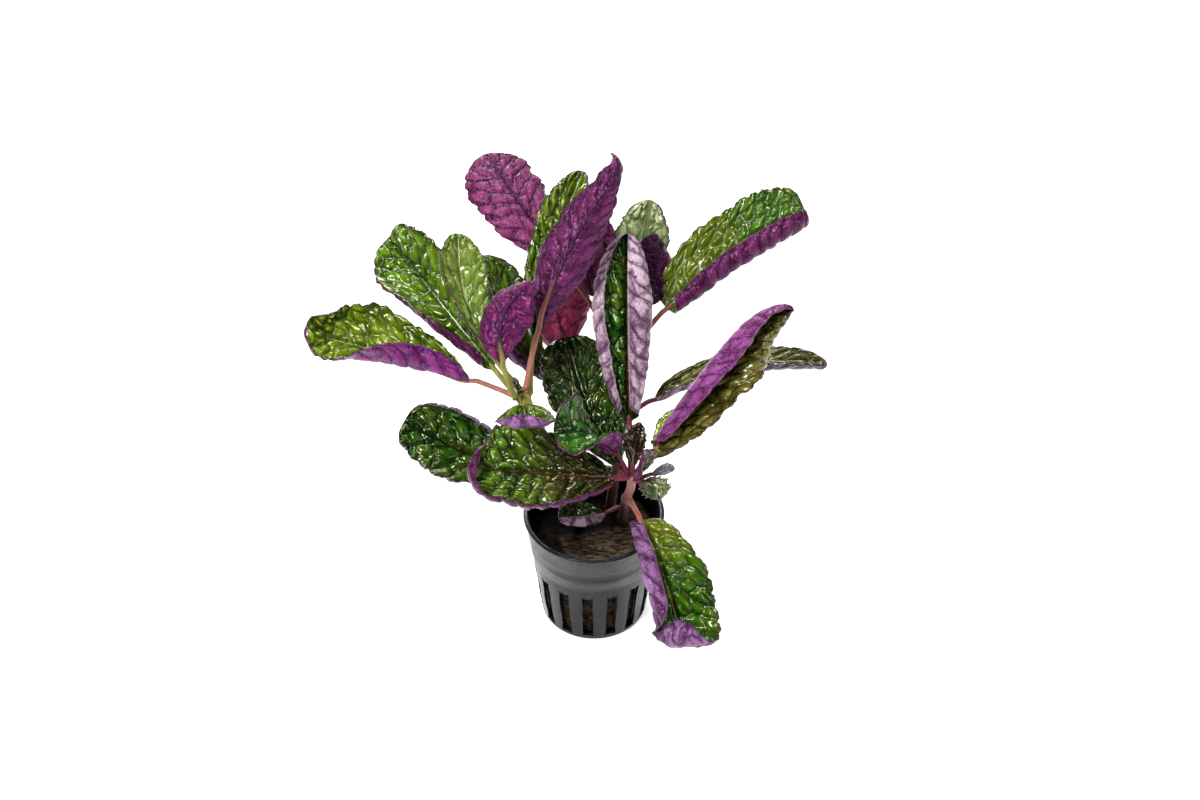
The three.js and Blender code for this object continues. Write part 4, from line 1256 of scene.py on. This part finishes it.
def floor_material(settings):
    """Plain pale floor, lit a little from within so that it stays near white."""
    shader = Shader("studio_floor")
    cloud = shader.noise(shader.position(), 3.0, 2.0)
    base = shader.mix(cloud * 0.03, (*settings.floor_colour, 1.0), FLOOR_CLOUD)
    return shader.finish(shader.surface(
        Base_Color=base,
        Roughness=0.9,
        Specular_IOR_Level=0.1,
        Emission_Color=base,
        Emission_Strength=settings.floor_glow,
    ))


def number_property(name, description, default, **kind):
    """A property that is one number, with a unit or a subtype where one fits."""
    return bpy.props.FloatProperty(name=name, description=description, default=default, **kind)


def length_property(name, description, default):
    return number_property(name, description, default, unit="LENGTH", subtype="DISTANCE", precision=5)


def share_property(name, description, default):
    description += ", as a share of half the width"
    return number_property(name, description, default, subtype="FACTOR")


def count_property(name, description, default, least, most):
    return bpy.props.IntProperty(
        name=name, description=description, default=default, min=least, max=most)


class WAFFLE_PG_pot(bpy.types.PropertyGroup):
    """Sizes of the net pot."""

    rim_radius: length_property("Rim radius", "Outside of the flaring rim", POT_HIGH.y)
    height: length_property("Height", "From the base to the top of the rim", POT_HIGH.z)
    wall: length_property("Wall", "Thickness of the moulded wall", WALL * MM)


class WAFFLE_PG_leaves(bpy.types.PropertyGroup):
    """Sizes that all leaves share."""

    blade_thickness: length_property("Blade thickness", "Thickness at the veins", 0.00045)
    blister_height: length_property("Blister height", "From the veins to the crowns", 0.0023)
    tooth_length: length_property("Tooth length", "One blunt tooth of the margin", 0.0022)
    tooth_depth: share_property("Tooth depth", "Depth of the margin's teeth", 0.035)
    scallop_depth: share_property("Scallop depth", "Bulge of each strip's margin", 0.09)
    wander: share_property("Wander", "Uneven swings of the margin", 0.06)
    rows: count_property("Rows", "Steps along a large blade", 128, 20, 200)
    columns: count_property("Columns", "Steps across half a large blade", 30, 6, 60)


class WAFFLE_PG_studio(bpy.types.PropertyGroup):
    """The floor, the lights and the camera."""

    floor_colour: bpy.props.FloatVectorProperty(
        name="Floor colour", description="Plain pale floor", subtype="COLOR", size=3,
        default=(0.9, 0.9, 0.9))
    floor_glow: number_property("Floor glow", "Light that the floor gives by itself", 0.7)
    sky: number_property("Sky", "Even white light from all round", 0.04)
    lens: number_property("Lens", "Focal length on a 36 mm sensor", 70.0, unit="CAMERA")
    elevation: number_property(
        "Elevation", "Camera above level", math.radians(41.386), subtype="ANGLE")


class WAFFLE_OT_pot(bpy.types.Operator):
    """Moulds the slotted net pot"""

    bl_idname = "waffle_plant.mould_pot"
    bl_label = "Mould the net pot"

    def execute(self, context):
        mesh = pot_mesh(context.scene.waffle_pot)
        pot = mesh.build("pot_moulding", pot_material(), sharp_over=50)
        soften = pot.modifiers.new("soft_edges", "BEVEL")
        soften.width = 0.00018
        soften.segments = 2
        soften.limit_method = "ANGLE"
        soften.angle_limit = math.radians(40)
        place(pot, "net_pot")
        return {"FINISHED"}


class WAFFLE_OT_plug(bpy.types.Operator):
    """Fills the pot with the fibrous rockwool plug"""

    bl_idname = "waffle_plant.fill_rockwool"
    bl_label = "Fill the rockwool plug"

    def execute(self, context):
        plug = plug_mesh().build("rockwool_fibre", rockwool_material())
        place(plug, "rockwool_plug")
        return {"FINISHED"}


class WAFFLE_OT_stems(bpy.types.Operator):
    """Grows the stems out of the plug"""

    bl_idname = "waffle_plant.grow_stems"
    bl_label = "Grow the stems"

    def execute(self, context):
        for seed, stem in enumerate(STEMS):
            name = stem["name"]
            material = stem_material(f"{name}_skin", stem["colours"])
            piece = stem_mesh(stem, seed + 60).build(f"{name}_grown", material)
            place(piece, name)
        return {"FINISHED"}


class WAFFLE_OT_leaves(bpy.types.Operator):
    """Grows every leaf with its petiole"""

    bl_idname = "waffle_plant.grow_leaves"
    bl_label = "Grow the leaves"

    def execute(self, context):
        for seed, leaf in enumerate(LEAVES):
            material = leaf_material(leaf.top, leaf.under, leaf.stalk)
            mesh = leaf_mesh(leaf, seed + 1, context.scene.waffle_leaves)
            piece = mesh.build(f"{leaf.name}_grown", material)
            place(piece, leaf.name)
        return {"FINISHED"}


class WAFFLE_OT_bud(bpy.types.Operator):
    """Sets the small bud beside the top of the left stem"""

    bl_idname = "waffle_plant.set_bud"
    bl_label = "Set the bud"

    def execute(self, context):
        place(bud_mesh().build("bud_scales", bud_material()), "bud_left")
        return {"FINISHED"}


class WAFFLE_OT_studio(bpy.types.Operator):
    """Lays the floor and sets the lights and the camera"""

    bl_idname = "waffle_plant.set_studio"
    bl_label = "Set the studio"

    def execute(self, context):
        scene = context.scene
        settings = scene.waffle_studio
        bpy.ops.mesh.primitive_plane_add(size=FLOOR_SIDE)
        floor = context.object
        floor.name = "studio_floor"
        floor.data.materials.append(floor_material(settings))
        add_camera(scene, settings)
        for light in LIGHTS:
            add_light(scene, *light)
        world = bpy.data.worlds.new("studio")
        world.use_nodes = True
        background = world.node_tree.nodes["Background"]
        background.inputs["Color"].default_value = (1.0, 1.0, 1.0, 1.0)
        background.inputs["Strength"].default_value = settings.sky
        scene.world = world
        scene.view_settings.view_transform = "Standard"
        return {"FINISHED"}


def add_camera(scene, settings):
    """A camera at the plant's front, looking down."""
    data = bpy.data.cameras.new("camera")
    data.lens = settings.lens
    data.sensor_width = SENSOR_WIDTH
    data.clip_start = CAMERA_CLIP
    camera = bpy.data.objects.new("camera", data)
    camera.location = CAMERA_PLACE
    camera.rotation_euler = (math.pi / 2 - settings.elevation, 0.0, 0.0)
    scene.collection.objects.link(camera)
    scene.camera = camera


def add_light(scene, name, position, aim, side, power):
    """A soft square light that shines from its place towards its aim."""
    data = bpy.data.lights.new(name, "AREA")
    data.size = side
    data.energy = power
    light = bpy.data.objects.new(name, data)
    light.location = position
    direction = Vector(aim) - Vector(position)
    light.rotation_euler = direction.to_track_quat("-Z", "Y").to_euler()
    scene.collection.objects.link(light)


class WAFFLE_PT_panel(bpy.types.Panel):
    """Buttons for each group of pieces"""

    bl_idname = "WAFFLE_PT_panel"
    bl_label = "Waffle plant"
    bl_space_type = "VIEW_3D"
    bl_region_type = "UI"
    bl_category = "Waffle plant"

    def draw(self, context):
        for operator in OPERATORS:
            self.layout.operator(operator.bl_idname)
        for group in GROUPS:
            settings = getattr(context.scene, group)
            for name in settings.__annotations__:
                self.layout.prop(settings, name)


GROUPS = {
    "waffle_pot": WAFFLE_PG_pot,
    "waffle_leaves": WAFFLE_PG_leaves,
    "waffle_studio": WAFFLE_PG_studio,
}
OPERATORS = (
    WAFFLE_OT_studio,
    WAFFLE_OT_pot,
    WAFFLE_OT_plug,
    WAFFLE_OT_stems,
    WAFFLE_OT_leaves,
    WAFFLE_OT_bud,
)
CLASSES = (*GROUPS.values(), *OPERATORS, WAFFLE_PT_panel)


def register():
    for each in CLASSES:
        bpy.utils.register_class(each)
    for name, group in GROUPS.items():
        setattr(bpy.types.Scene, name, bpy.props.PointerProperty(type=group))


def unregister():
    for name in GROUPS:
        delattr(bpy.types.Scene, name)
    for each in reversed(CLASSES):
        bpy.utils.unregister_class(each)


def main():
    """Registers the add-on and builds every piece."""
    register()
    for operator in OPERATORS:
        category, name = operator.bl_idname.split(".")
        getattr(getattr(bpy.ops, category), name)()


if __name__ == "__main__":
    main()
